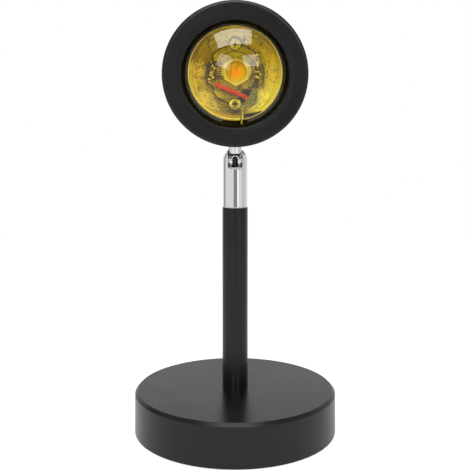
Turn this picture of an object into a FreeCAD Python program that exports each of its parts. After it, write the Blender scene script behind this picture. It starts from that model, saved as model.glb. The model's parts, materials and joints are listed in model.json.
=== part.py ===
import FreeCAD, Part
import math
import os

from FreeCAD import Vector

os.makedirs("parts", exist_ok=True)

# Sunset projection lamp: a weighted round base, a tube pole, a slotted ball joint that also swivels,
# and a round lamp head with a thick convex lens over a small light emitter.
# Millimetres. Z is up, the origin is on the table under the pole, and the front faces -Y.

# ---- Driving dimensions ----

# Fits
press_gap = 0.02          # radial gap of pieces pressed or screwed together
running_gap = 0.06        # radial gap of a shaft that turns in its bush
socket_gap = 0.08         # radial gap between the ball and what it turns in
loose_gap = 0.25          # radial gap of screws, pipes and cables that pass through holes
stack_gap = 0.1           # radial gap of the pieces stacked in the head
slide_gap = 0.1           # end gap between faces that turn on each other
bite = 0.5                # how far a piece reaches into the one it is fused to
past = 1.0                # how far a cutter runs past a face
pick = 0.05               # how near an edge lies to the place that it is picked by

# Base
base_radius = 55.0
base_height = 22.6
base_chamfer = 1.6
base_wall = 1.8
base_top_thickness = 2.0
foot_pad_thickness = 1.5
foot_pad_radius = 50.0
foot_stand_off = 0.6      # how far the base's rim stays above the table
bottom_plate_thickness = 1.2
bottom_plate_gap = 0.3
weight_radius = 48.0
weight_thickness = 8.0
weight_recess_radius = 12.0
weight_recess_depth = 4.0
weight_boss_radius = 4.5
weight_boss_circle = 38.0
plate_screw_count = 3
plate_screw_turn = 30.0   # degrees from +X to the first bottom screw
plate_screw_length = 6.0
plate_screw_head_height = 1.2
inlet_height = 7.6
inlet_bore_gap = 0.5      # radial room for the cord in the inlet
grommet_body_radius = 3.4
grommet_flange_radius = 4.6
grommet_flange_thickness = 1.0
clamp_distance = 34.0     # from the pole axis back to the cable clamp
clamp_length = 6.0
clamp_width = 16.0
clamp_floor_gap = 0.9
clamp_screw_edge = 3.6    # from the clamp's end to its screw
clamp_screw_bite = 4.0    # length of the clamp's screws in the weight

# Pole
pole_radius = 7.0
pole_wall = 1.0
pole_length = 99.4
pole_plug_length = 14.0
nipple_radius = 4.0
nipple_grip = 11.0        # length of the nipple screwed into the pole's plug
nipple_spare = 1.0        # nipple left standing out of its nut
washer_radius = 8.5
washer_thickness = 1.2
pole_nut_width = 13.0     # across flats
pole_nut_height = 4.0

# Swivel
thrust_washer_thickness = 0.4
thrust_washer_step = 0.5  # the washer is this much smaller than the pole
bush_length = 10.0
spindle_radius = 3.5
spindle_plug_length = 13.2
swivel_washer_thickness = 0.8
swivel_nut_gap = 0.4       # radial gap between the nut's corners and the pole
swivel_nut_height = 3.0
spindle_spare = 0.8
disc_spring_count = 3
disc_spring_thickness = 0.5
disc_spring_rise = 0.45

# Ball joint
sleeve_radius = 6.75
sleeve_wall = 1.25
ball_height = 148.2       # height of the ball's centre above the table
dome_hole_radius = 4.0
sleeve_slot_width = 7.95
sleeve_slot_floor = 5.1   # below the ball's centre
sleeve_slot_corner = 1.9
notch_width = 1.8
notch_floor = 2.8         # above the ball's centre
notch_slope = 1.6         # how much the notch narrows towards the top
notch_slope_height = 3.2  # over which it narrows
ball_slot_top = 2.7       # above the ball's centre
seat_lip = 4.0            # how far its rim is below the ball's centre
ball_slot_bevel = 0.45    # on the rim of the cable's slot
neck_radius = 3.7
neck_thread_radius = 3.0
neck_washer_radius = 4.9
neck_washer_thickness = 0.8
neck_nut_width = 8.0
neck_nut_height = 3.0
neck_spare = 0.8          # thread left standing out of the nut

# Cable
cable_radius = 1.4
cable_room = 0.9          # radial room round the cable in the nipple and the spindle
cable_slot_gap = 0.15     # room beside the cable in the ball's slot
cable_bend = 3.0
cable_joint_free = 1.2    # free length left open under the ball so that it can flex
cable_lift = 0.4          # room between the cable and what it starts from or bends over

# Head
rest_tilt = 6.8           # degrees that the head leans forward in the photograph
head_radius = 37.1
head_length = 62.0
head_wall = 1.8
head_front_reach = 34.0   # from the neck forward to the ring's face
head_clearance = 11.5     # from the ball's centre up to the underside of the head
neck_land_depth = 0.9     # flat spot cut for the neck under the head
neck_saddle_radius = 5.2
neck_saddle_height = 1.3
bezel_opening_gap = 0.35  # radial gap between the lens's dome and the bezel's lip
bezel_face_depth = 6.0
bezel_outer_fillet = 1.6
bezel_slope_width = 3.0   # the face falls away gently towards the lens
bezel_slope_drop = 0.35
bezel_inner_fillet = 0.4
bezel_lip_thickness = 2.0
bezel_spigot_depth = 5.0
bezel_spigot_wall = 3.4
rear_cap_thickness = 3.0
rear_cap_spigot = 3.0
rear_cap_spigot_wall = 2.4
rear_cap_fillet = 1.4
vent_count = 12
vent_width = 2.0
vent_inner_radius = 12.0
vent_outer_radius = 24.0
cap_screw_count = 3
cap_screw_circle = 31.0
cap_screw_turn = 90.0
cap_boss_radius = 3.2
cap_boss_length = 9.0
cap_web_thickness = 2.4
cap_screw_length = 9.0

# Lens and light chamber
lens_radius = 29.0
lens_edge_thickness = 3.0
lens_flange_width = 2.0   # flat edge round the domed part
lens_curvature = 38.0
lens_play = 0.1
gasket_thickness = 1.0
gasket_width = 3.2
baffle_spigot_gap = 0.9
baffle_mouth_step = 0.2
baffle_throat_radius = 19.6
baffle_throat_depth = 14.0
cup_wall = 0.4
cup_rear_gap = 0.3        # between the cup's narrow end and the board's screws
cup_seam_width = 0.5      # gap between the ends of the rolled cup
cup_seam_turn = 8.0       # degrees from straight down, towards +X
plate_depth = 25.6        # from the ring's face back to the heat sink's front
plate_thickness = 3.0
plate_shoulder = 2.2      # the housing's inner step that the heat sink seats on
plate_shoulder_length = 2.0
fin_count = 9
fin_thickness = 1.4
fin_zone_radius = 22.0
fin_length = 13.0
driver_post_radius = 2.6
driver_post_circle = 17.0
driver_post_length = 16.0
driver_board_radius = 27.0
driver_board_thickness = 1.6
driver_screw_length = 7.0
coil_radius = 4.0
coil_height = 5.0
coil_place = (-7.0, 10.0)           # sideways and up from the head's axis
capacitor_radius = 2.5
capacitor_height = 6.0
capacitor_place = (9.0, -9.0)
chip_size = (6.0, 5.0, 1.6)         # width, height on the board, thickness
chip_place = (5.0, 8.5)
resistor_size = (3.2, 1.6, 0.7)
resistor_places = ((-7.4, -5.2), (-7.4, -10.2))

# Light emitter
pad_thickness = 0.3
board_screw_length = 6.0
board_washer_radius = 2.4
board_washer_thickness = 0.5
board_radius = 10.0
board_thickness = 1.6
board_drop = 0.7          # the board's centre lies this far under the head's axis
board_notch_circle = 10.6
board_notch_count = 6
screw_notch_radius = 1.7
emitter_shift = 0.4       # the emitter's centre lies this far to the right
emitter_base_width = 8.6  # across flats
emitter_base_height = 1.3
phosphor_radius = 3.1
phosphor_height = 0.4
emitter_dome_radius = 3.2
solder_circle = 7.9
solder_blob_radius = 1.0
solder_blob_pitch = 2.0
solder_blobs_per_side = 3
lead_radius = 0.85
lead_bend = 1.4
lead_grommet_bore = 2.0
lead_grommet_wall = 0.6
lead_grommet_flange = 3.0
lead_grommet_flange_height = 1.4
lead_hole_x = 4.7
lead_hole_drop = 8.8
red_lead_start = (-6.9, -4.3)       # sideways and up, where the red lead ends over the board
black_lead_bow = (6.8, -5.4)        # sideways and up, where the black lead bends over the board

# Screws: head radius, head height, thread radius
small_screw_head = 2.0
small_screw_head_height = 1.3
small_screw_thread = 1.2
main_screw_head = 2.9
main_screw_head_height = 1.8
main_screw_thread = 1.5
cross_slot_width = 0.6
cross_slot_depth = 0.7
cross_slot_share = 0.62   # of the screw head's radius
head_round_share = 0.4    # of the screw head's height

# ---- Sizes that follow from them ----

underside_of_top = base_height - base_top_thickness
weight_bottom = underside_of_top - weight_thickness
bottom_plate_low = foot_pad_thickness
bottom_plate_high = bottom_plate_low + bottom_plate_thickness
recess_ceiling = weight_bottom + weight_recess_depth
pole_nut_top = recess_ceiling - washer_thickness
pole_nut_bottom = pole_nut_top - pole_nut_height
nipple_bottom = pole_nut_bottom - nipple_spare
nipple_top = base_height + nipple_grip
pole_bore_radius = pole_radius - pole_wall
pole_top = base_height + pole_length
sleeve_bottom = pole_top + thrust_washer_thickness + slide_gap
sleeve_bore_radius = sleeve_radius - sleeve_wall
ball_radius = sleeve_bore_radius - socket_gap
ball_slot_width = 2 * (cable_radius + cable_slot_gap)
nipple_bore_radius = cable_radius + cable_room
spindle_bore_radius = cable_radius + cable_room
inlet_bore_radius = cable_radius + inlet_bore_gap
swivel_nut_width = (pole_bore_radius - swivel_nut_gap) * math.sqrt(3.0)
bush_bottom = pole_top - bush_length
swivel_washer_bottom = bush_bottom - slide_gap - swivel_washer_thickness
swivel_nut_bottom = swivel_washer_bottom - swivel_nut_height
spindle_bottom = swivel_nut_bottom - spindle_spare
spindle_top = sleeve_bottom + spindle_plug_length
disc_stack_height = disc_spring_count * (disc_spring_thickness + disc_spring_rise)
seat_bottom = spindle_top + disc_stack_height
seat_top = ball_height - seat_lip

head_axis_height = head_radius + head_clearance
head_bore_radius = head_radius - head_wall
neck_land = head_axis_height - head_radius + neck_land_depth
neck_saddle_top = head_axis_height - head_bore_radius + neck_saddle_height
neck_nut_bottom = neck_saddle_top + neck_washer_thickness
neck_top = neck_nut_bottom + neck_nut_height + neck_spare
lens_dome_radius = lens_radius - lens_flange_width
bezel_opening_radius = lens_dome_radius + bezel_opening_gap
gasket_inner_radius = lens_radius - gasket_width
baffle_mouth_radius = gasket_inner_radius - baffle_mouth_step
baffle_outer_radius = head_bore_radius - bezel_spigot_wall - baffle_spigot_gap
lens_front = bezel_lip_thickness + lens_play
lens_rear = lens_front + lens_edge_thickness
gasket_rear = lens_rear + gasket_thickness
lens_sag = lens_curvature - math.sqrt(lens_curvature ** 2 - lens_dome_radius ** 2)
plate_rear = plate_depth + plate_thickness
spigot_rear = bezel_face_depth + bezel_spigot_depth
board_rear = plate_depth - pad_thickness
board_front = board_rear - board_thickness
emitter_front = board_front - emitter_base_height
board_washer_front = board_front - board_washer_thickness
cup_rear_radius = board_notch_circle + board_drop + board_washer_radius + cup_rear_gap
fin_rear = plate_rear + fin_length
driver_front = plate_rear + driver_post_length
driver_rear = driver_front + driver_board_thickness
cap_front = head_length - rear_cap_thickness
bezel_bore_radius = lens_radius + lens_play


# ---- Drawing helpers ----

def disc(radius, low, high, x=0.0, y=0.0):
    """Upright cylinder between two heights."""
    return Part.makeCylinder(radius, high - low, Vector(x, y, low))


def ring(outer, inner, low, high, x=0.0, y=0.0):
    """Upright tube between two heights."""
    return disc(outer, low, high, x, y).cut(disc(inner, low - past, high + past, x, y))


def block(x_low, x_high, y_low, y_high, z_low, z_high):
    return Part.makeBox(x_high - x_low, y_high - y_low, z_high - z_low, Vector(x_low, y_low, z_low))


def hexagon(width, low, high, x=0.0, y=0.0):
    """Upright hexagonal prism, its width measured across flats."""
    corner = width / math.sqrt(3.0)
    points = []
    for side in range(7):
        turn = math.radians(60.0 * side)
        points.append(Vector(x + corner * math.cos(turn), y + corner * math.sin(turn), low))
    return Part.Face(Part.makePolygon(points)).extrude(Vector(0, 0, high - low))


def turned_about_z(outline):
    """Solid of revolution about the pole's axis from (radius, height) points."""
    points = [Vector(radius, 0, height) for radius, height in outline]
    points.append(points[0])
    return Part.Face(Part.makePolygon(points)).revolve(Vector(0, 0, 0), Vector(0, 0, 1), 360)


def head_point(x, up, depth):
    """A place in the head: sideways, above the head's axis, and behind the ring's face."""
    return Vector(x, depth - head_front_reach, head_axis_height + up)


def turned_in_head(outline):
    """Solid of revolution about the head's axis from (radius, depth) points."""
    points = [head_point(0, radius, depth) for radius, depth in outline]
    points.append(points[0])
    face = Part.Face(Part.makePolygon(points))
    return face.revolve(head_point(0, 0, 0), Vector(0, 1, 0), 360)


def head_disc(radius, front, rear, x=0.0, up=0.0):
    """Cylinder along the head's axis between two depths."""
    return Part.makeCylinder(radius, rear - front, head_point(x, up, front), Vector(0, 1, 0))


def head_ring(outer, inner, front, rear):
    return head_disc(outer, front, rear).cut(head_disc(inner, front - past, rear + past))


def head_block(x_low, x_high, up_low, up_high, front, rear):
    low = head_point(x_low, up_low, front)
    return Part.makeBox(x_high - x_low, rear - front, up_high - up_low, low)


def head_hexagon(width, front, rear, x=0.0, up=0.0):
    """Hexagonal prism along the head's axis, its width measured across flats."""
    corner = width / math.sqrt(3.0)
    points = []
    for side in range(7):
        turn = math.radians(60.0 * side + 30.0)
        points.append(head_point(x + corner * math.cos(turn), up + corner * math.sin(turn), front))
    return Part.Face(Part.makePolygon(points)).extrude(Vector(0, rear - front, 0))


def around(count, first_turn, circle):
    """Places on a circle as (across, along) pairs."""
    places = []
    for step in range(count):
        turn = math.radians(first_turn + 360.0 * step / count)
        places.append((circle * math.cos(turn), circle * math.sin(turn)))
    return places


def fuse_all(shapes):
    whole = shapes[0]
    for shape in shapes[1:]:
        whole = whole.fuse(shape)
    return whole.removeSplitter()


def cut_all(shape, cutters):
    for cutter in cutters:
        shape = shape.cut(cutter)
    return shape


def pan_screw(seat, direction, length, pan_radius, pan_height, thread_radius):
    """Cross-head screw. The head stands on the seat, the thread runs along the direction."""
    pan = disc(pan_radius, -pan_height, 0.0)
    rims = [edge for edge in pan.Edges if edge.BoundBox.ZMax < -pan_height / 2.0]
    pan = pan.makeFillet(pan_height * head_round_share, rims)
    screw = pan.fuse(disc(thread_radius, 0.0, length))
    reach = pan_radius * cross_slot_share
    half = cross_slot_width / 2.0
    low = -pan_height - past
    high = cross_slot_depth - pan_height
    screw = screw.cut(block(-reach, reach, -half, half, low, high))
    screw = screw.cut(block(-half, half, -reach, reach, low, high))
    placement = FreeCAD.Placement(seat, FreeCAD.Rotation(Vector(0, 0, 1), direction))
    return screw.transformGeometry(placement.toMatrix())


def round_wire(points, radius, bend):
    """A round wire along straight runs joined by arcs that touch both runs."""
    edges = []
    start = points[0]
    for index in range(1, len(points) - 1):
        corner = points[index]
        back = (points[index - 1] - corner).normalize()
        ahead = (points[index + 1] - corner).normalize()
        half_angle = back.getAngle(ahead) / 2.0
        trim = bend / math.tan(half_angle)
        arc_start = corner + back * trim
        arc_end = corner + ahead * trim
        middle_way = (back + ahead).normalize()
        centre = corner + middle_way * (bend / math.sin(half_angle))
        arc_middle = centre - middle_way * bend
        edges.append(Part.makeLine(start, arc_start))
        edges.append(Part.Arc(arc_start, arc_middle, arc_end).toShape())
        start = arc_end
    edges.append(Part.makeLine(start, points[-1]))
    path = Part.Wire(edges)
    first_way = (points[1] - points[0]).normalize()
    section = Part.Wire(Part.makeCircle(radius, points[0], first_way))
    wire = path.makePipeShell([section], True, False)
    section_area = math.pi * radius ** 2
    print("wire volume over section times length: %.4f" % (wire.Volume / (section_area * path.Length)))
    return wire


# ---- Base ----

def plate_screw_places():
    return around(plate_screw_count, plate_screw_turn, weight_boss_circle)


def make_base_shell():
    """Pressed steel cover: top, chamfered edge and side wall, open below."""
    inside = base_radius - base_wall
    outline = [
        (nipple_radius + loose_gap, base_height),
        (base_radius - base_chamfer, base_height),
        (base_radius, base_height - base_chamfer),
        (base_radius, foot_stand_off),
        (inside, foot_stand_off),
        (inside, underside_of_top - base_chamfer),
        (inside - base_chamfer, underside_of_top),
        (nipple_radius + loose_gap, underside_of_top),
    ]
    shell = turned_about_z(outline)
    inlet = Part.makeCylinder(
        grommet_body_radius + press_gap, 2 * base_radius, Vector(0, 0, inlet_height), Vector(0, 1, 0)
    )
    return shell.cut(inlet)


def make_base_weight():
    """Cast disc under the top, with three bosses down to the bottom plate."""
    weight = disc(weight_radius, weight_bottom, underside_of_top)
    bosses = [
        disc(weight_boss_radius, bottom_plate_high, weight_bottom, x, y) for x, y in plate_screw_places()
    ]
    weight = fuse_all([weight] + bosses)
    holes = [
        disc(main_screw_thread + press_gap, bottom_plate_high - past,
             bottom_plate_low + plate_screw_length + past, x, y)
        for x, y in plate_screw_places()
    ]
    holes.append(disc(nipple_radius + loose_gap, weight_bottom - past, underside_of_top + past))
    holes.append(disc(weight_recess_radius, weight_bottom - past, recess_ceiling))
    holes += [
        disc(main_screw_thread + press_gap, weight_bottom - past, weight_bottom + clamp_screw_bite + past,
             x, clamp_distance)
        for x in clamp_screw_places()
    ]
    return cut_all(weight, holes)


def make_bottom_plate():
    plate = disc(base_radius - base_wall - bottom_plate_gap, bottom_plate_low, bottom_plate_high)
    holes = [
        disc(main_screw_thread + loose_gap, bottom_plate_low - past, bottom_plate_high + past, x, y)
        for x, y in plate_screw_places()
    ]
    return cut_all(plate, holes)


def make_bottom_screws():
    screws = []
    for x, y in plate_screw_places():
        seat = Vector(x, y, bottom_plate_low)
        screws.append(
            pan_screw(seat, Vector(0, 0, 1), plate_screw_length, main_screw_head,
                      plate_screw_head_height, main_screw_thread)
        )
    return Part.makeCompound(screws)


def make_foot_pad():
    """Soft non-slip pad, pierced for the bottom screws."""
    pad = disc(foot_pad_radius, 0.0, foot_pad_thickness)
    holes = [
        disc(main_screw_head + loose_gap, -past, foot_pad_thickness + past, x, y)
        for x, y in plate_screw_places()
    ]
    return cut_all(pad, holes)


def make_cable_grommet():
    """Rubber ring in the rear wall, where a cord enters."""
    inside = base_radius - base_wall
    axis = Vector(0, 1, 0)
    low = Vector(0, inside - grommet_flange_thickness, inlet_height)
    length = base_wall + 2 * grommet_flange_thickness
    flanges = Part.makeCylinder(grommet_flange_radius, length, low, axis)
    wall = ring(base_radius, inside, foot_stand_off, base_height)
    body = Part.makeCylinder(grommet_body_radius, length, low, axis)
    bore = Part.makeCylinder(inlet_bore_radius, length + 2 * past, low - axis * past, axis)
    return flanges.cut(wall).fuse(body).removeSplitter().cut(bore)


def clamp_screw_places():
    reach = clamp_width / 2.0 - clamp_screw_edge
    return (-reach, reach)


def make_cable_clamp():
    """Bridge that holds the cable under the weight, as a strain relief."""
    half = clamp_width / 2.0
    low = bottom_plate_high + clamp_floor_gap
    near = clamp_distance - clamp_length / 2.0
    far = clamp_distance + clamp_length / 2.0
    clamp = block(-half, half, near, far, low, weight_bottom)
    tunnel = Part.makeCylinder(
        cable_radius + press_gap, clamp_length + 2 * past, Vector(0, near - past, inlet_height),
        Vector(0, 1, 0)
    )
    holes = [tunnel]
    for x in clamp_screw_places():
        holes.append(disc(main_screw_thread + loose_gap, low - past, weight_bottom + past, x, clamp_distance))
        holes.append(disc(main_screw_head + stack_gap, low - past, low + main_screw_head_height, x,
                          clamp_distance))
    return cut_all(clamp, holes)


def make_clamp_screws():
    low = bottom_plate_high + clamp_floor_gap + main_screw_head_height
    length = weight_bottom - low + clamp_screw_bite
    screws = []
    for x in clamp_screw_places():
        screws.append(
            pan_screw(Vector(x, clamp_distance, low), Vector(0, 0, 1), length, main_screw_head,
                      main_screw_head_height, main_screw_thread)
        )
    return Part.makeCompound(screws)


# ---- Pole ----

def make_pole_tube():
    return ring(pole_radius, pole_bore_radius, base_height, pole_top)


def make_pole_plug():
    """Threaded plug pressed into the pole's foot."""
    return ring(pole_bore_radius - press_gap, nipple_radius + press_gap, base_height,
                base_height + pole_plug_length)


def make_pole_nipple():
    return ring(nipple_radius, nipple_bore_radius, nipple_bottom, nipple_top)


def make_pole_washer():
    return ring(washer_radius, nipple_radius + loose_gap, pole_nut_top, recess_ceiling)


def make_pole_nut():
    nut = hexagon(pole_nut_width, pole_nut_bottom, pole_nut_top)
    return nut.cut(disc(nipple_radius + press_gap, pole_nut_bottom - past, pole_nut_top + past))


# ---- Swivel ----

def make_swivel_bush():
    """Bush pressed into the pole's top, in which the spindle turns."""
    return ring(pole_bore_radius - press_gap, spindle_radius + running_gap, bush_bottom, pole_top)


def make_thrust_washer():
    return ring(pole_radius - thrust_washer_step, spindle_radius + loose_gap, pole_top,
                pole_top + thrust_washer_thickness)


def make_swivel_spindle():
    """Hollow spindle: its wide top is screwed into the sleeve, its shaft turns in the bush."""
    outline = [
        (spindle_bore_radius, spindle_bottom),
        (spindle_radius, spindle_bottom),
        (spindle_radius, sleeve_bottom),
        (sleeve_bore_radius - press_gap, sleeve_bottom),
        (sleeve_bore_radius - press_gap, spindle_top),
        (spindle_bore_radius, spindle_top),
    ]
    return turned_about_z(outline)


def make_swivel_washer():
    return ring(pole_bore_radius - loose_gap, spindle_radius + press_gap, swivel_washer_bottom,
                swivel_washer_bottom + swivel_washer_thickness)


def make_swivel_nut():
    nut = hexagon(swivel_nut_width, swivel_nut_bottom, swivel_washer_bottom)
    return nut.cut(disc(spindle_radius + press_gap, swivel_nut_bottom - past, swivel_washer_bottom + past))


def make_disc_springs():
    """Coned spring washers that press the seat up against the ball."""
    inner = spindle_bore_radius + loose_gap
    outer = sleeve_bore_radius - loose_gap
    springs = []
    low = spindle_top
    for _ in range(disc_spring_count):
        outline = [
            (outer, low),
            (outer, low + disc_spring_thickness),
            (inner, low + disc_spring_thickness + disc_spring_rise),
            (inner, low + disc_spring_rise),
        ]
        springs.append(turned_about_z(outline))
        low += disc_spring_thickness + disc_spring_rise
    return Part.makeCompound(springs)


def make_ball_seat():
    """Nylon cup under the ball."""
    seat = ring(sleeve_bore_radius - press_gap, spindle_bore_radius, seat_bottom, seat_top)
    return seat.cut(Part.makeSphere(ball_radius + socket_gap, Vector(0, 0, ball_height)))


def make_swivel_sleeve():
    """Domed sleeve with a slot in front, through which the neck tilts down."""
    centre = Vector(0, 0, ball_height)
    outside = disc(sleeve_radius, sleeve_bottom, ball_height).fuse(Part.makeSphere(sleeve_radius, centre))
    inside = disc(sleeve_bore_radius, sleeve_bottom - past, ball_height)
    inside = inside.fuse(Part.makeSphere(sleeve_bore_radius, centre))
    sleeve = outside.cut(block(-sleeve_radius, sleeve_radius, -sleeve_radius, sleeve_radius,
                               sleeve_bottom - 2 * sleeve_radius, sleeve_bottom))
    sleeve = sleeve.cut(inside)
    sleeve = sleeve.cut(disc(dome_hole_radius, ball_height, ball_height + 2 * sleeve_radius))
    half = sleeve_slot_width / 2.0
    floor = ball_height - sleeve_slot_floor
    slot = block(-half, half, -2 * sleeve_radius, 0.0, floor, ball_height + 2 * sleeve_radius)
    low_edges = [edge for edge in slot.Edges if edge.BoundBox.ZMax < floor + pick
                 and edge.BoundBox.YLength > sleeve_radius]
    slot = slot.makeFillet(sleeve_slot_corner, low_edges)
    notch_low = ball_height + notch_floor
    notch_high = ball_height + 2 * sleeve_radius
    corners = [
        Vector(half - bite, 0, notch_low),
        Vector(half + notch_width, 0, notch_low),
        Vector(half + notch_width - notch_slope, 0, notch_low + notch_slope_height),
        Vector(half + notch_width - notch_slope, 0, notch_high),
        Vector(half - bite, 0, notch_high),
    ]
    notch = Part.Face(Part.makePolygon(corners + [corners[0]])).extrude(Vector(0, -2 * sleeve_radius, 0))
    return sleeve.cut(slot).cut(notch)


# ---- Head: neck and ball ----

def make_tilt_ball():
    """Ball with its neck, bored and slotted for the cable."""
    ball = Part.makeSphere(ball_radius)
    stem = disc(neck_radius, 0.0, neck_land)
    thread = disc(neck_thread_radius, 0.0, neck_top)
    whole = fuse_all([ball, stem, thread])
    bore = disc(ball_slot_width / 2.0, -2 * ball_radius, neck_top + past)
    half = ball_slot_width / 2.0
    arch_centre = ball_slot_top - half
    slot = block(-half, half, -2 * ball_radius, 0.0, -2 * ball_radius, arch_centre)
    arch = Part.makeCylinder(half, 2 * ball_radius, Vector(0, 0, arch_centre), Vector(0, -1, 0))
    opened = cut_all(whole, [bore, slot, arch])
    slot_rim = [
        edge for edge in opened.Edges
        if edge.BoundBox.YMax < 0.0 and edge.BoundBox.ZMin > -ball_radius
        and all(abs(corner.Point.Length - ball_radius) < pick for corner in edge.Vertexes)
    ]
    return opened.makeChamfer(ball_slot_bevel, slot_rim)


def make_neck_washer():
    return ring(neck_washer_radius, neck_thread_radius + loose_gap, neck_saddle_top, neck_nut_bottom)


def make_neck_nut():
    top = neck_nut_bottom + neck_nut_height
    nut = hexagon(neck_nut_width, neck_nut_bottom, top)
    return nut.cut(disc(neck_thread_radius + press_gap, neck_nut_bottom - past, top + past))


# ---- Head: housing ----

def cap_screw_places():
    return around(cap_screw_count, cap_screw_turn, cap_screw_circle)


def make_head_housing():
    """Turned housing tube with a step for the heat sink and a saddle for the neck."""
    tube = head_ring(head_radius, head_bore_radius, bezel_face_depth, cap_front)
    step = head_ring(head_bore_radius + bite, head_bore_radius - plate_shoulder, plate_rear,
                     plate_rear + plate_shoulder_length)
    saddle = disc(neck_saddle_radius, neck_land, neck_saddle_top)
    boss_front = cap_front - rear_cap_spigot - cap_boss_length
    bosses = []
    for x, up in cap_screw_places():
        boss = head_disc(cap_boss_radius, boss_front, cap_front - rear_cap_spigot, x, up)
        turn = math.degrees(math.atan2(up, x))
        web = Part.makeBox(head_bore_radius + bite - cap_screw_circle, cap_boss_length, cap_web_thickness,
                           Vector(cap_screw_circle, 0.0, -cap_web_thickness / 2.0))
        web.rotate(Vector(0, 0, 0), Vector(0, 1, 0), -turn)
        web.translate(head_point(0, 0, boss_front))
        bosses.append(boss)
        bosses.append(web)
    inside = head_disc(head_bore_radius + bite, bezel_face_depth, cap_front)
    extras = [piece.common(inside) for piece in bosses]
    housing = fuse_all([tube, step, saddle.common(inside)] + extras)
    nut_room = disc(neck_washer_radius + loose_gap, neck_saddle_top, neck_saddle_top + 2 * head_wall)
    land = disc(neck_radius + loose_gap, 0.0, neck_land)
    hole = disc(neck_thread_radius + loose_gap, 0.0, neck_saddle_top + past)
    screw_holes = [
        head_disc(small_screw_thread + press_gap, boss_front - past, cap_front, x, up)
        for x, up in cap_screw_places()
    ]
    return cut_all(housing, [nut_room, land, hole] + screw_holes)


def make_front_bezel():
    """Front ring: a flat face, a lip over the lens edge and a threaded spigot."""
    outline = [
        (bezel_opening_radius, bezel_slope_drop),
        (bezel_opening_radius + bezel_slope_width, 0.0),
        (head_radius, 0.0),
        (head_radius, bezel_face_depth),
        (head_bore_radius - press_gap, bezel_face_depth),
        (head_bore_radius - press_gap, spigot_rear),
        (head_bore_radius - bezel_spigot_wall, spigot_rear),
        (head_bore_radius - bezel_spigot_wall, lens_rear),
        (bezel_bore_radius, lens_rear),
        (bezel_bore_radius, bezel_lip_thickness),
        (bezel_opening_radius, bezel_lip_thickness),
    ]
    bezel = turned_in_head(outline)
    front = head_point(0, 0, 0).y
    face_edges = [edge for edge in bezel.Edges if edge.BoundBox.YMax < front + pick]
    outer_rim = [edge for edge in face_edges if edge.BoundBox.XMax > head_radius - pick]
    bezel = bezel.makeFillet(bezel_outer_fillet, outer_rim)
    lip_edges = [edge for edge in bezel.Edges if edge.BoundBox.YMax < front + bezel_slope_drop + pick]
    inner_rim = [edge for edge in lip_edges if edge.BoundBox.XMax < bezel_opening_radius + pick]
    return bezel.makeFillet(bezel_inner_fillet, inner_rim)


def make_rear_cap():
    """Rear cover with a ring of vents."""
    outline = [
        (0.0, cap_front),
        (head_bore_radius - press_gap - rear_cap_spigot_wall, cap_front),
        (head_bore_radius - press_gap - rear_cap_spigot_wall, cap_front - rear_cap_spigot),
        (head_bore_radius - press_gap, cap_front - rear_cap_spigot),
        (head_bore_radius - press_gap, cap_front),
        (head_radius, cap_front),
        (head_radius, head_length),
        (0.0, head_length),
    ]
    cap = turned_in_head(outline)
    rear = head_point(0, 0, head_length).y
    rim = [edge for edge in cap.Edges if edge.BoundBox.YMin > rear - pick]
    cap = cap.makeFillet(rear_cap_fillet, rim)
    cutters = []
    for step in range(vent_count):
        half = vent_width / 2.0
        vent = head_block(vent_inner_radius, vent_outer_radius, -half, half, cap_front - past,
                          head_length + past)
        ends = [head_disc(half, cap_front - past, head_length + past, vent_inner_radius),
                head_disc(half, cap_front - past, head_length + past, vent_outer_radius)]
        vent = fuse_all([vent] + ends)
        vent.rotate(head_point(0, 0, 0), Vector(0, 1, 0), 360.0 * step / vent_count)
        cutters.append(vent)
    for x, up in cap_screw_places():
        cutters.append(head_disc(small_screw_thread + loose_gap, cap_front - rear_cap_spigot - past,
                                 head_length + past, x, up))
        cutters.append(head_disc(cap_boss_radius + loose_gap, cap_front - rear_cap_spigot - past,
                                 cap_front, x, up))
        cutters.append(head_disc(small_screw_head + loose_gap, head_length - small_screw_head_height,
                                 head_length + past, x, up))
    return cut_all(cap, cutters)


def make_rear_cap_screws():
    seat_depth = head_length - small_screw_head_height
    screws = []
    for x, up in cap_screw_places():
        screws.append(
            pan_screw(head_point(x, up, seat_depth), Vector(0, -1, 0), cap_screw_length, small_screw_head,
                      small_screw_head_height, small_screw_thread)
        )
    return Part.makeCompound(screws)


# ---- Head: lens and light chamber ----

def make_lens():
    """Thick plano-convex lens with a flat edge."""
    edge = head_disc(lens_radius, lens_front, lens_rear)
    sphere_centre = head_point(0, 0, lens_front - lens_sag + lens_curvature)
    dome = Part.makeSphere(lens_curvature, sphere_centre)
    column = head_disc(lens_dome_radius, lens_front - lens_sag - past, lens_rear)
    return edge.fuse(dome.common(column)).removeSplitter()


def make_lens_gasket():
    return head_ring(lens_radius, gasket_inner_radius, lens_rear, gasket_rear)


def make_light_baffle():
    """Black tube that holds the lens off the heat sink and narrows to a throat."""
    cup_outer = baffle_throat_radius + cup_wall
    outline = [
        (baffle_mouth_radius, gasket_rear),
        (baffle_outer_radius, gasket_rear),
        (baffle_outer_radius, plate_depth),
        (cup_outer, plate_depth),
        (cup_outer, baffle_throat_depth + cup_wall),
        (baffle_throat_radius, baffle_throat_depth + cup_wall),
        (baffle_throat_radius, baffle_throat_depth),
    ]
    return turned_in_head(outline)


def make_reflector_cup():
    """Thin bright cup round the light board."""
    outer = baffle_throat_radius + cup_wall - press_gap
    front = baffle_throat_depth + cup_wall
    outline = [
        (outer - cup_wall, front),
        (outer, front),
        (cup_rear_radius + cup_wall, plate_depth),
        (cup_rear_radius, plate_depth),
    ]
    half = cup_seam_width / 2.0
    seam = head_block(-half, half, -2 * baffle_throat_radius, 0.0, front - past, plate_depth + past)
    seam.rotate(head_point(0, 0, 0), Vector(0, 1, 0), -cup_seam_turn)
    return turned_in_head(outline).cut(seam)


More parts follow.
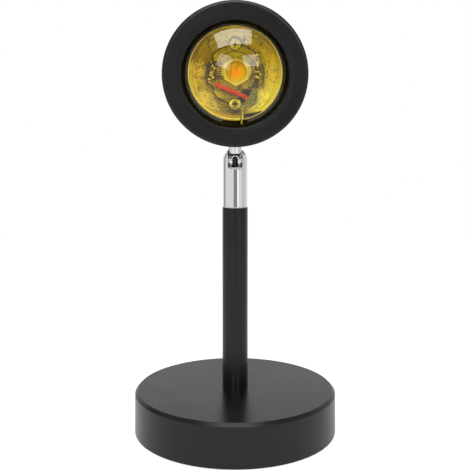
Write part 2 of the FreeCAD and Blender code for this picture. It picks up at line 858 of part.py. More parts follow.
def lead_hole(radius, front, rear):
    return head_disc(radius, front, rear, lead_hole_x, -lead_hole_drop)


def board_notch_places():
    return [(x, up - board_drop) for x, up in around(board_notch_count, 90.0, board_notch_circle)]


def board_screw_places():
    return ((0.0, board_notch_circle - board_drop), (0.0, -board_notch_circle - board_drop))


def driver_post_places():
    return ((-driver_post_circle, 0.0), (driver_post_circle, 0.0))


def make_heat_sink():
    """Aluminium plate with fins and two posts behind it."""
    plate = head_disc(head_bore_radius - stack_gap, plate_depth, plate_rear)
    zone = head_disc(fin_zone_radius, plate_rear - bite, fin_rear)
    pitch = 2 * fin_zone_radius / fin_count
    pieces = [plate]
    for index in range(fin_count):
        x = (index - (fin_count - 1) / 2.0) * pitch
        fin = head_block(x - fin_thickness / 2.0, x + fin_thickness / 2.0, -fin_zone_radius,
                         fin_zone_radius, plate_rear - bite, fin_rear)
        pieces.append(fin.common(zone))
    for x, up in driver_post_places():
        pieces.append(head_disc(driver_post_radius, plate_rear - bite, driver_front, x, up))
    sink = fuse_all(pieces)
    hole_radius = lead_grommet_bore + lead_grommet_wall + press_gap
    cutters = [lead_hole(hole_radius, plate_depth - past, fin_rear + past)]
    for x, up in board_screw_places():
        cutters.append(head_disc(small_screw_thread + press_gap, plate_depth - past, fin_rear, x, up))
    for x, up in driver_post_places():
        cutters.append(head_disc(small_screw_thread + press_gap, driver_front - driver_screw_length,
                                 driver_front + past, x, up))
    return cut_all(sink, cutters)


def board_cutters(front, rear):
    """What the board and its pad leave free: the star notches and the lead grommet."""
    cutters = [lead_hole(lead_grommet_flange + loose_gap, front - past, rear + past)]
    for x, up in board_notch_places():
        cutters.append(head_disc(screw_notch_radius, front - past, rear + past, x, up))
    return cutters


def make_thermal_pad():
    pad = head_disc(board_radius, board_rear, plate_depth, 0.0, -board_drop)
    return cut_all(pad, board_cutters(board_rear, plate_depth))


def make_lead_grommet():
    """Rubber ring in the heat sink's hole, through which the leads pass."""
    body = lead_hole(lead_grommet_bore + lead_grommet_wall, plate_depth - lead_grommet_flange_height,
                     plate_rear)
    flange = lead_hole(lead_grommet_flange, plate_depth - lead_grommet_flange_height, plate_depth)
    bore = lead_hole(lead_grommet_bore, plate_depth - 2 * lead_grommet_flange_height, plate_rear + past)
    return body.fuse(flange).removeSplitter().cut(bore)


# ---- Head: light emitter ----

def make_led_board():
    """Round aluminium board with star notches. Two of them take its screws."""
    board = head_disc(board_radius, board_front, board_rear, 0.0, -board_drop)
    return cut_all(board, board_cutters(board_front, board_rear))


def make_board_screws():
    screws = []
    for x, up in board_screw_places():
        screws.append(
            pan_screw(head_point(x, up, board_washer_front), Vector(0, 1, 0), board_screw_length,
                      small_screw_head, small_screw_head_height, small_screw_thread)
        )
    return Part.makeCompound(screws)


def make_board_washers():
    """Insulating washers under the heads of the board's screws."""
    washers = []
    for x, up in board_screw_places():
        washer = head_disc(board_washer_radius, board_washer_front, board_front, x, up)
        hole = head_disc(small_screw_thread + press_gap, board_washer_front - past, board_front + past, x, up)
        washers.append(washer.cut(hole))
    return Part.makeCompound(washers)


def make_emitter_base():
    """Six-sided carrier of the emitter, with a round recess for the phosphor."""
    base = head_hexagon(emitter_base_width, emitter_front, board_front, emitter_shift)
    pocket = head_disc(phosphor_radius + press_gap, emitter_front - past,
                       emitter_front + phosphor_height, emitter_shift)
    return base.cut(pocket)


def make_phosphor():
    return head_disc(phosphor_radius, emitter_front, emitter_front + phosphor_height, emitter_shift)


def make_emitter_dome():
    """Clear half ball over the phosphor."""
    ball = Part.makeSphere(emitter_dome_radius, head_point(emitter_shift, 0, emitter_front))
    front_half = head_disc(emitter_dome_radius + past, emitter_front - 2 * emitter_dome_radius,
                           emitter_front, emitter_shift)
    return ball.common(front_half)


def solder_places():
    """Soldered joints on each side of the emitter, in a column."""
    places = []
    for side in (-1.0, 1.0):
        for step in range(solder_blobs_per_side):
            up = (step - (solder_blobs_per_side - 1) / 2.0) * solder_blob_pitch
            places.append((side * solder_circle, up))
    return places


def make_solder_joints():
    blobs = []
    keep = head_disc(board_radius, board_front - solder_blob_radius, board_front, 0.0, -board_drop)
    sink = solder_blob_radius / 2.0
    for x, up in solder_places():
        ball = Part.makeSphere(solder_blob_radius, head_point(x, up, board_front + sink))
        blobs.append(ball.common(keep))
    return Part.makeCompound(blobs)


def lead_route(over_board, hole_shift):
    """Over the board by way of the given places, then back through the grommet to the driver."""
    lift = board_front - solder_blob_radius / 2.0 - lead_radius - loose_gap
    hole_x = lead_hole_x + hole_shift
    route = [head_point(x, up, lift) for x, up in over_board]
    route.append(head_point(hole_x, -lead_hole_drop, lift))
    route.append(head_point(hole_x, -lead_hole_drop, driver_front))
    return route


def make_lead_red():
    hole_shift = -lead_radius - press_gap
    return round_wire(lead_route([red_lead_start], hole_shift), lead_radius, lead_bend)


def make_lead_black():
    hole_shift = lead_radius + press_gap
    start = (solder_circle, -solder_blob_pitch - loose_gap)
    return round_wire(lead_route([start, black_lead_bow], hole_shift), lead_radius, lead_bend)


def make_driver_board():
    """Small current regulator board behind the heat sink."""
    board = head_disc(driver_board_radius, driver_front, driver_rear)
    holes = [
        head_disc(small_screw_thread + loose_gap, driver_front - past, driver_rear + past, x, up)
        for x, up in driver_post_places()
    ]
    return cut_all(board, holes)


def make_driver_screws():
    screws = []
    for x, up in driver_post_places():
        screws.append(
            pan_screw(head_point(x, up, driver_rear), Vector(0, -1, 0), driver_screw_length,
                      small_screw_head, small_screw_head_height, small_screw_thread)
        )
    return Part.makeCompound(screws)


def on_driver_board(size, place):
    """Flat component of a width, a height and a thickness, centred on a place."""
    width, height, thickness = size
    x, up = place
    return head_block(x - width / 2.0, x + width / 2.0, up - height / 2.0, up + height / 2.0,
                      driver_rear, driver_rear + thickness)


def make_driver_parts():
    """Coil, capacitor, chip and two resistors on the driver board."""
    coil = head_disc(coil_radius, driver_rear, driver_rear + coil_height, *coil_place)
    capacitor = head_disc(capacitor_radius, driver_rear, driver_rear + capacitor_height,
                          *capacitor_place)
    chip = on_driver_board(chip_size, chip_place)
    resistors = [on_driver_board(resistor_size, place) for place in resistor_places]
    return Part.makeCompound([coil, capacitor, chip] + resistors)


# ---- Cables ----

def make_pole_cable():
    """From the inlet in the base up the pole to just under the ball."""
    start = base_radius - base_wall - grommet_flange_thickness
    top = ball_height - ball_radius - cable_joint_free
    route = [
        Vector(0, start, inlet_height),
        Vector(0, 0, inlet_height),
        Vector(0, 0, top),
    ]
    return round_wire(route, cable_radius, cable_bend)


def make_head_cable():
    """From the ball's slot up the neck to the driver board."""
    level = neck_top + cable_bend + cable_lift
    low = -math.sqrt(ball_radius ** 2 - cable_radius ** 2) + cable_lift
    route = [
        Vector(0, 0, low),
        Vector(0, 0, level),
        Vector(0, driver_front - head_front_reach, level),
    ]
    return round_wire(route, cable_radius, cable_bend)


# ---- Build ----

standing_pieces = {
    "base_shell": make_base_shell(),
    "base_weight": make_base_weight(),
    "bottom_plate": make_bottom_plate(),
    "bottom_screws": make_bottom_screws(),
    "foot_pad": make_foot_pad(),
    "cable_grommet": make_cable_grommet(),
    "cable_clamp": make_cable_clamp(),
    "clamp_screws": make_clamp_screws(),
    "pole_tube": make_pole_tube(),
    "pole_plug": make_pole_plug(),
    "pole_nipple": make_pole_nipple(),
    "pole_washer": make_pole_washer(),
    "pole_nut": make_pole_nut(),
    "pole_cable": make_pole_cable(),
    "swivel_bush": make_swivel_bush(),
    "thrust_washer": make_thrust_washer(),
    "swivel_spindle": make_swivel_spindle(),
    "swivel_washer": make_swivel_washer(),
    "swivel_nut": make_swivel_nut(),
    "disc_springs": make_disc_springs(),
    "ball_seat": make_ball_seat(),
    "swivel_sleeve": make_swivel_sleeve(),
}

# The head's pieces are drawn upright about the ball's centre and then leaned forward as photographed.
head_pieces = {
    "tilt_ball": make_tilt_ball(),
    "neck_washer": make_neck_washer(),
    "neck_nut": make_neck_nut(),
    "head_housing": make_head_housing(),
    "front_bezel": make_front_bezel(),
    "rear_cap": make_rear_cap(),
    "rear_cap_screws": make_rear_cap_screws(),
    "lens": make_lens(),
    "lens_gasket": make_lens_gasket(),
    "light_baffle": make_light_baffle(),
    "reflector_cup": make_reflector_cup(),
    "heat_sink": make_heat_sink(),
    "thermal_pad": make_thermal_pad(),
    "lead_grommet": make_lead_grommet(),
    "led_board": make_led_board(),
    "board_washers": make_board_washers(),
    "board_screws": make_board_screws(),
    "emitter_base": make_emitter_base(),
    "phosphor": make_phosphor(),
    "emitter_dome": make_emitter_dome(),
    "solder_joints": make_solder_joints(),
    "lead_red": make_lead_red(),
    "lead_black": make_lead_black(),
    "driver_board": make_driver_board(),
    "driver_screws": make_driver_screws(),
    "driver_parts": make_driver_parts(),
    "head_cable": make_head_cable(),
}

for name, shape in standing_pieces.items():
    shape.exportStep("parts/%s.step" % name)

for name, shape in head_pieces.items():
    shape.rotate(Vector(0, 0, 0), Vector(1, 0, 0), rest_tilt)
    shape.translate(Vector(0, 0, ball_height))
    shape.exportStep("parts/%s.step" % name)

for name, shape in list(standing_pieces.items()) + list(head_pieces.items()):
    if not shape.isValid():
        print("not valid:", name)
print("nodes:", len(standing_pieces) + len(head_pieces))
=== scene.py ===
"""Looks of the sunset projection lamp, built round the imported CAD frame."""
import json
import math
import random

import bmesh
import bpy
from mathutils import Matrix, Quaternion, Vector, noise


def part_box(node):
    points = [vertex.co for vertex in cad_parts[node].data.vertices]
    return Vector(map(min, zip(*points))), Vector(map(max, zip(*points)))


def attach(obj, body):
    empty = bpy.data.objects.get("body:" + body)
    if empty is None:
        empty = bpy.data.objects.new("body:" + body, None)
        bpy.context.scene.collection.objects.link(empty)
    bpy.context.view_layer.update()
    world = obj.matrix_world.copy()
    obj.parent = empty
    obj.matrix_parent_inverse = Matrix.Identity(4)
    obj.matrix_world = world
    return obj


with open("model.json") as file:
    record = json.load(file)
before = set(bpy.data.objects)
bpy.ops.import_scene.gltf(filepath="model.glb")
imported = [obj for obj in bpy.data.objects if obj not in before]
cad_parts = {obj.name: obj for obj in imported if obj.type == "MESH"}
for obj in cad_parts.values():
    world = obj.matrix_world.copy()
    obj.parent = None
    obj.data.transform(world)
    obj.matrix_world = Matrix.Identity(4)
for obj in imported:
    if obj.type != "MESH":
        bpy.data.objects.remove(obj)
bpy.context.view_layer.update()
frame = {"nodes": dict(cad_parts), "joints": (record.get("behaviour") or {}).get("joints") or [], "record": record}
nodes = frame["nodes"]
joints = {joint["name"]: joint for joint in frame["joints"]}

# ---- The head's own directions, worked out from the frame ----

millimetre = 0.001
head_lean = -joints["head_tilt"]["range_deg"][0]      # degrees from upright to rest
head_turn = math.radians(90.0 + head_lean)


def middle(node):
    low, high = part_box(node)
    return (low + high) / 2


def head_matrix(centre):
    """Places (sideways, up, out towards the lens) in the head's directions round a centre."""
    return Matrix.Translation(centre) @ Matrix.Rotation(head_turn, 4, "X")


head_out = head_matrix(Vector()) @ Vector((0, 0, 1))


def head_axis_point(node):
    """Where the head's axis meets the front of a node."""
    centre = middle("lens")
    front = max(vertex.co.dot(head_out) for vertex in nodes[node].data.vertices)
    return centre + head_out * (front - centre.dot(head_out))


board_centre = head_axis_point("led_board")
throat_centre = head_axis_point("reflector_cup")

# ---- Camera of the photograph ----

image_width = 470
focal_pixels = 757.0
horizon_row = 135.0
axis_column = 235.1
camera_distance = 0.420
camera_height = 0.162
sensor_width = 36.0

# ---- Light levels ----

world_light = 0.38        # what lights the object from all round
world_seen = 1.0          # the white background, as the camera sees it
room_level = 0.78         # the same, as it shows in metal and gloss
front_level = 0.2         # the room behind the camera, above eye level
front_from = 0.1          # sines of how far forward it starts and is fully dark
front_to = 0.4
front_rise_from = 0.08    # sines of how high it starts and is fully dark
front_rise_to = 0.24
ceiling_level = 0.4       # the room's ceiling, which is darker
ceiling_from = 0.45       # sines of the elevations where it starts and is fully dark
ceiling_to = 0.85
# Parts of the room that show in gloss: level, middle in degrees to the right of the camera,
# half width and half soft edge.
room_parts = (
    (0.25, 3.5, 17.0, 2.0),        # dark end
    (1.3, 26.5, 5.5, 1.0),         # bright gap
    (0.22, -114.0, 10.0, 3.0),     # grey stand
    (0.6, 88.0, 22.0, 12.0),       # right side
)

# Softboxes: angles in degrees, azimuth to the right of the camera, sizes in metres.
top_softbox = {"azimuth": -4, "elevation": 54, "distance": 0.9,
               "width": 0.84, "height": 0.46, "roll": 10.0}
left_softbox = {"azimuth": -17, "elevation": 12.5, "distance": 1.2,
                "width": 0.46, "height": 0.42, "roll": -24.0}
right_softbox = {"azimuth": 26, "elevation": 14, "distance": 1.2,
                 "width": 0.52, "height": 0.38, "roll": 5.0}
top_radiance = 6.5
top_radiance_on_base = 3.4     # the base is black and shiny, so it gets a weaker top light
left_radiance = 4.4
right_radiance = 4.6

# ---- Floor ----

floor_reach = 6.0
floor_cells = 8
floor_tone = 0.6
floor_glow = 0.72          # added white under the lamp, which leaves its shadow
floor_gloss_glow = 0.42    # the same, as it shows in metal and gloss
floor_near = 0.25
floor_far = 0.9


# ---- Node helpers ----

class Tree:
    """A short way to write a node tree."""

    def __init__(self, tree):
        self.tree = tree

    def node(self, kind, inputs=None, **settings):
        made = self.tree.nodes.new(kind)
        for name, value in settings.items():
            setattr(made, name, value)
        for name, value in (inputs or {}).items():
            self.feed(made.inputs[name], value)
        return made

    def feed(self, socket, value):
        if isinstance(value, bpy.types.NodeSocket):
            self.tree.links.new(value, socket)
        else:
            socket.default_value = value

    def math(self, operation, *values, clamp=False):
        made = self.tree.nodes.new("ShaderNodeMath")
        made.operation = operation
        made.use_clamp = clamp
        for index, value in enumerate(values):
            self.feed(made.inputs[index], value)
        return made.outputs[0]

    def place(self):
        return self.node("ShaderNodeTexCoord").outputs["Object"]

    def noise(self, scale, detail=3.0, roughness=0.5, vector=None, distortion=0.0):
        return self.node("ShaderNodeTexNoise", {
            "Scale": scale, "Detail": detail, "Roughness": roughness, "Distortion": distortion,
            "Vector": vector or self.place(),
        }).outputs["Fac"]

    def in_head(self, centre=None):
        """Object coordinates in the head's directions, in metres from the board's centre."""
        return self.node("ShaderNodeMapping", {
            "Vector": self.place(), "Location": centre or board_centre,
            "Rotation": (head_turn, 0.0, 0.0),
        }, vector_type="TEXTURE").outputs[0]

    def parts(self, vector):
        return self.node("ShaderNodeSeparateXYZ", {"Vector": vector}).outputs

    def joined(self, **parts):
        return self.node("ShaderNodeCombineXYZ", parts).outputs[0]

    def axis_distance(self, parts):
        """Distance from the axis that the third coordinate runs along, in metres."""
        square = self.math("ADD", self.math("MULTIPLY", parts["X"], parts["X"]),
                           self.math("MULTIPLY", parts["Y"], parts["Y"]))
        return self.math("SQRT", square)

    def polar(self):
        """Distance from the head's axis, in metres, and the angle round it, in turns."""
        parts = self.parts(self.in_head())
        angle = self.math("ARCTAN2", parts["Y"], parts["X"])
        return self.axis_distance(parts), self.math("DIVIDE", angle, math.tau)

    def around(self, value, amount):
        """A noise value as a shift to both sides of 0."""
        return self.math("MULTIPLY", self.math("SUBTRACT", value, 0.5), amount)

    def within(self, value, width):
        """1 where a value lies nearer to 0 than the width."""
        return self.math("LESS_THAN", self.math("ABSOLUTE", value), width)

    def hairs(self, scale, width):
        """1 on thin wandering lines, such as scratches and dried flux."""
        value = self.noise(scale, detail=2.0, vector=self.in_head(), distortion=1.5)
        return self.within(self.math("SUBTRACT", value, 0.5), width)

    def stretched(self, factors):
        return self.node("ShaderNodeMapping", {
            "Vector": self.in_head(), "Scale": factors}).outputs[0]

    def spread(self, value, low, high, out_low=0.0, out_high=1.0):
        return self.node("ShaderNodeMapRange", {
            "Value": value, "From Min": low, "From Max": high,
            "To Min": out_low, "To Max": out_high,
        }).outputs["Result"]

    def smooth(self, value, low, high):
        return self.node("ShaderNodeMapRange", {
            "Value": value, "From Min": low, "From Max": high,
        }, interpolation_type="SMOOTHSTEP").outputs["Result"]

    def between(self, factor, first, second):
        """The first number where the factor is 0, the second where it is 1."""
        rest = self.math("SUBTRACT", 1.0, factor)
        return self.math("ADD", self.math("MULTIPLY", rest, first),
                         self.math("MULTIPLY", factor, second))

    def blend(self, factor, first, second):
        """The first colour where the factor is 0, the second where it is 1."""
        made = self.tree.nodes.new("ShaderNodeMix")
        made.data_type = "RGBA"
        self.feed(made.inputs["Factor"], factor)
        self.feed(made.inputs[6], first)
        self.feed(made.inputs[7], second)
        return made.outputs[2]

    def bump(self, height, strength, distance):
        return self.node("ShaderNodeBump", {
            "Height": height, "Strength": strength, "Distance": distance,
        }).outputs[0]

    def round_painted_light(self, turn, shift, zones):
        """Painted light and shade that follow one another round the head's axis, with an uneven shift."""
        shifted = self.math("FRACT", self.math("ADD", turn, 1.0))
        ramp = self.node("ShaderNodeValToRGB", {"Fac": self.math("ADD", shifted, shift)})
        elements = ramp.color_ramp.elements
        while len(elements) < len(zones):
            elements.new(0.5)
        for element, (place, tone) in zip(elements, zones):
            element.position = place
            element.color = colour(*tone)
        return ramp.outputs["Color"]


def colour(red, green, blue):
    return (red, green, blue, 1.0)


def new_material(name, **plain):
    """A material with one Principled shader, and the plain values of its sockets."""
    material = bpy.data.materials.new(name)
    material.use_nodes = True
    tree = material.node_tree
    tree.nodes.clear()
    output = tree.nodes.new("ShaderNodeOutputMaterial")
    shader = tree.nodes.new("ShaderNodeBsdfPrincipled")
    tree.links.new(shader.outputs[0], output.inputs[0])
    for socket, value in plain.items():
        shader.inputs[socket.replace("_", " ")].default_value = value
    return material, Tree(tree), shader


# ---- Plain materials ----
# A range is (low, high) of what goes in, or (low, high, from, to) with what comes out.

noise_range = (0.3, 0.7)             # where most values of a noise lie

paint_ior = 1.4
paint_peel_scale = 2600.0
paint_peel_depth = 0.04 * millimetre
paint_cloud_scale = 28.0
paint_dark_shares = (0.88, 0.89, 0.9)
paint_light_shares = (1.15, 1.15, 1.14)
paint_strays = (-0.03, 0.04)         # how far the roughness strays from its middle


def satin_paint(name, tone, roughness):
    """Fine powder coat: near black, with a slight orange peel and faint handling marks."""
    material, t, shader = new_material(name, IOR=paint_ior)
    peel = t.noise(paint_peel_scale, detail=2.0)
    cloud = t.noise(paint_cloud_scale, detail=4.0, roughness=0.6)
    dark = colour(*(tone * share for share in paint_dark_shares))
    light = colour(*(tone * share for share in paint_light_shares))
    rough = (roughness + stray for stray in paint_strays)
    t.feed(shader.inputs["Base Color"], t.blend(cloud, dark, light))
    t.feed(shader.inputs["Roughness"], t.spread(cloud, *noise_range, *rough))
    t.feed(shader.inputs["Normal"], t.bump(peel, strength=0.12, distance=paint_peel_depth))
    return material


metal_cloud_scale = 90.0
metal_fine_scale = 700.0
metal_dark_share = 0.93


def metal(name, base, roughness, wear=0.02):
    """Metal with a faint uneven polish."""
    material, t, shader = new_material(name, Metallic=1.0)
    cloud = t.noise(metal_cloud_scale, roughness=0.6)
    fine = t.noise(metal_fine_scale, detail=2.0)
    darker = tuple(metal_dark_share * part for part in base)
    mixed = t.math("ADD", t.math("MULTIPLY", cloud, 0.5), t.math("MULTIPLY", fine, 0.5))
    t.feed(shader.inputs["Base Color"], t.blend(cloud, colour(*darker), colour(*base)))
    t.feed(shader.inputs["Roughness"], t.spread(mixed, *noise_range, roughness, roughness + wear))
    return material


plastic_cloud_scale = 120.0
plastic_grain_scale = 900.0
plastic_grain_depth = 0.03 * millimetre
plastic_strays = (-0.04, 0.05)


def plastic(name, base, roughness, contrast=0.12, gloss=0.5):
    """Moulded plastic, rubber or insulation with a fine grain."""
    material, t, shader = new_material(name, Specular_IOR_Level=gloss)
    cloud = t.noise(plastic_cloud_scale, roughness=0.6)
    fine = t.noise(plastic_grain_scale, detail=2.0)
    low = tuple((1.0 - contrast) * part for part in base)
    high = tuple(min(1.0, (1.0 + contrast) * part) for part in base)
    rough = (roughness + stray for stray in plastic_strays)
    t.feed(shader.inputs["Base Color"], t.blend(cloud, colour(*low), colour(*high)))
    t.feed(shader.inputs["Roughness"], t.spread(fine, *noise_range, *rough))
    t.feed(shader.inputs["Normal"], t.bump(fine, strength=0.3, distance=plastic_grain_depth))
    return material


glass_cloud_scale = 14.0
glass_dark_share = 0.97


def glass(name, tint, ior):
    """Clear glass with a tint and a trace of unevenness."""
    material, t, shader = new_material(name, Transmission_Weight=1.0, IOR=ior, Roughness=0.0)
    cloud = t.noise(glass_cloud_scale, detail=2.0)
    low = tuple(glass_dark_share * part for part in tint)
    t.feed(shader.inputs["Base Color"], t.blend(cloud, colour(*low), colour(*tint)))
    return material


# ---- Materials inside the head ----
# Zones are painted light and shade that follow one another round the head's axis: (turns from the right, tone).

plate_metallic = 0.12
plate_depth = 0.2 * millimetre
plate_ring_pitch = 0.7 * millimetre
plate_ring_height = 0.5                   # heights are shares of the depth
plate_stain_height = 3.5
plate_stain_scale = 150.0
plate_stain_range = (0.32, 0.46)
plate_polish_range = (0.35, 0.65, 0.5, 0.26)
plate_grain_scale = 1300.0
plate_grain_range = (0.56, 0.68, 0.0, 0.75)
plate_arc_turns = 7.0                     # stretch round the axis and outwards
plate_arc_outwards = 520.0
plate_arc_range = (0.52, 0.68, 0.0, 0.3)
plate_flux_scale = 95.0
plate_flux_width = 0.006
plate_flux_share = 0.7
plate_scratch_stretch = (1500.0, 90.0, 90.0)
plate_scratch_range = (0.46, 0.60, 0.2, 0.8)
plate_zone_shift = 0.12
# Painted light and shade of the plate, by its turn round the axis.
plate_painted_light_zones = (
    (0.0, (1.0, 0.82, 0.07)), (0.13, (0.52, 0.4, 0.012)), (0.25, (0.76, 0.66, 0.025)),
    (0.38, (0.42, 0.31, 0.01)), (0.455, (0.36, 0.25, 0.01)), (0.475, (1.0, 0.78, 0.05)),
    (0.64, (0.55, 0.43, 0.055)), (0.76, (0.3, 0.24, 0.025)), (0.84, (0.8, 0.78, 0.108)),
    (0.94, (0.88, 0.82, 0.113)), (1.0, (1.0, 0.82, 0.07)),
)
plate_stain_tone = colour(0.16, 0.1, 0.011)
plate_arc_tone = colour(0.95, 0.86, 0.149)
plate_flux_tone = colour(0.05, 0.03, 0.003)
plate_scratch_tone = colour(0.95, 0.90, 0.74)
plate_grain_tone = colour(0.09, 0.055, 0.008)
# Where the scratched flap at the lower right starts and is full, in metres from the centre.
flap_left = (0.004, 0.007)
flap_top = (0.002, -0.004)
flap_right = (0.0125, 0.0115)


def turned_aluminium(name):
    """Lathe-turned plate: rings, stains, bright arcs, dried flux and a scratched flap, over painted light and
    shade round the axis.
    """
    material, t, shader = new_material(name, Metallic=plate_metallic)
    radius, turn = t.polar()
    parts = t.parts(t.in_head())
    rings = t.math("SINE", t.math("MULTIPLY", radius, math.tau / plate_ring_pitch))
    stain = t.noise(plate_stain_scale, detail=4.0, roughness=0.65, vector=t.in_head(),
                    distortion=1.2)
    scratch = t.noise(1.0, roughness=0.65, vector=t.stretched(plate_scratch_stretch))
    grain = t.noise(plate_grain_scale, detail=2.0, roughness=0.7, vector=t.in_head())
    arcs = t.noise(1.0, roughness=0.6, vector=t.joined(
        X=t.math("MULTIPLY", turn, plate_arc_turns),
        Y=t.math("MULTIPLY", radius, plate_arc_outwards)))
    flap = t.math("MULTIPLY", t.spread(parts["X"], *flap_left), t.spread(parts["Y"], *flap_top))
    flap = t.math("MULTIPLY", flap, t.spread(parts["X"], *flap_right))
    flux = t.math("MULTIPLY", t.hairs(plate_flux_scale, plate_flux_width), plate_flux_share)
    scratched = t.math("MULTIPLY", flap, t.spread(scratch, *plate_scratch_range))

    # Painted light and shade round the axis.
    tone = t.round_painted_light(turn, t.around(stain, plate_zone_shift), plate_painted_light_zones)
    tone = t.blend(t.spread(stain, *plate_stain_range), plate_stain_tone, tone)
    tone = t.blend(t.spread(arcs, *plate_arc_range), tone, plate_arc_tone)
    tone = t.blend(flux, tone, plate_flux_tone)
    tone = t.blend(scratched, tone, plate_scratch_tone)
    tone = t.blend(t.spread(grain, *plate_grain_range), tone, plate_grain_tone)
    height = t.math("ADD", t.math("MULTIPLY", rings, plate_ring_height),
                    t.math("MULTIPLY", stain, plate_stain_height))
    t.feed(shader.inputs["Base Color"], tone)
    t.feed(shader.inputs["Roughness"], t.spread(stain, *plate_polish_range))
    t.feed(shader.inputs["Normal"], t.bump(height, strength=0.9, distance=plate_depth))
    return material


foil_metallic = 0.02
foil_depth = 0.2 * millimetre
foil_dent_height = 4.0
foil_dent_scale = 170.0
foil_speckle_scale = 1100.0
foil_speckle_range = (0.58, 0.70, 0.0, 0.8)
foil_streak_scale = 1.3
foil_streak_turns = 9.0                   # stretch round the axis, along it and outwards
foil_streak_along = 700.0
foil_streak_outwards = 260.0
foil_streak_range = (0.36, 0.52, 0.75, 0.0)
foil_polish_range = (0.3, 0.7, 0.42, 0.2)
foil_zone_shift = 0.06
# Painted light and shade of the foil, by its turn round the axis.
foil_painted_light_zones = (
    (0.0, (1.0, 0.92, 0.06)), (0.13, (0.52, 0.40, 0.02)), (0.26, (1.0, 0.92, 0.06)),
    (0.36, (0.38, 0.29, 0.015)), (0.455, (0.34, 0.25, 0.015)), (0.47, (1.0, 0.84, 0.06)),
    (0.56, (1.0, 0.82, 0.06)), (0.66, (0.58, 0.46, 0.07)), (0.76, (0.44, 0.34, 0.03)),
    (0.84, (1.0, 0.98, 0.149)), (0.94, (1.0, 0.98, 0.149)), (1.0, (1.0, 0.92, 0.06)),
)
foil_streak_tone = colour(0.14, 0.095, 0.012)
foil_speckle_tone = colour(0.16, 0.09, 0.011)


def crinkled_foil(name):
    """Rolled reflector sheet, dented, stained and streaked along its curve, over painted light and shade round the
    axis.
    """
    material, t, shader = new_material(name, Metallic=foil_metallic)
    radius, turn = t.polar()
    depth = t.parts(t.in_head())["Z"]
    streaks = t.noise(foil_streak_scale, roughness=0.6, vector=t.joined(
        X=t.math("MULTIPLY", turn, foil_streak_turns),
        Y=t.math("MULTIPLY", depth, foil_streak_along),
        Z=t.math("MULTIPLY", radius, foil_streak_outwards)))
    dents = t.noise(foil_dent_scale, roughness=0.6, vector=t.in_head(), distortion=1.0)
    speckle = t.noise(foil_speckle_scale, detail=2.0, roughness=0.75, vector=t.in_head())

    # Painted light and shade round the axis.
    tone = t.round_painted_light(turn, t.around(dents, foil_zone_shift), foil_painted_light_zones)
    tone = t.blend(t.spread(streaks, *foil_streak_range), tone, foil_streak_tone)
    tone = t.blend(t.spread(speckle, *foil_speckle_range), tone, foil_speckle_tone)
    height = t.math("ADD", t.math("MULTIPLY", dents, foil_dent_height), streaks)
    t.feed(shader.inputs["Base Color"], tone)
    t.feed(shader.inputs["Roughness"], t.spread(streaks, *foil_polish_range))
    t.feed(shader.inputs["Normal"], t.bump(height, strength=0.8, distance=foil_depth))
    return material


mask_cloud_scale = 230.0
mask_patch_range = (0.36, 0.62)
mask_polish_range = (0.3, 0.7, 0.22, 0.42)
mask_depth = 0.1 * millimetre
mask_wobble = 1.6 * millimetre
mask_line = 0.22 * millimetre             # half the width of the drawn lines
mask_track_radius = 6.6 * millimetre
mask_track_share = 0.7
mask_track_height = 0.4
mask_hair_scale = 170.0
mask_hair_width = 0.007
mask_hair_share = 0.75
mask_joint_height = 3.3 * millimetre      # half the height of the browned field at the joints
mask_joint_from = 4.6 * millimetre        # where it starts, to the left and to the right
mask_joint_share = 0.85
# Painted shade: the board darkens towards its top.
mask_painted_shade_range = (0.0, 10.0 * millimetre, 0.0, 0.55)
# Dark line at the board's scalloped edge: painted shadow of the gap between board and plate.
mask_border_radius = 10.3 * millimetre
mask_border_lobe = 0.7 * millimetre
mask_border_lobes = 7.0
mask_border_share = 0.92
mask_dull_tone = colour(0.26, 0.21, 0.03)
mask_clean_tone = colour(0.58, 0.52, 0.097)
mask_painted_shade_tone = colour(0.3, 0.24, 0.022)
mask_track_tone = colour(0.08, 0.055, 0.005)
mask_joint_tone = colour(0.13, 0.08, 0.008)
mask_rim_dull_tone = colour(0.36, 0.28, 0.022)
mask_rim_tone = colour(0.72, 0.58, 0.054)
mask_edge_shadow_tone = colour(0.04, 0.025, 0.003)


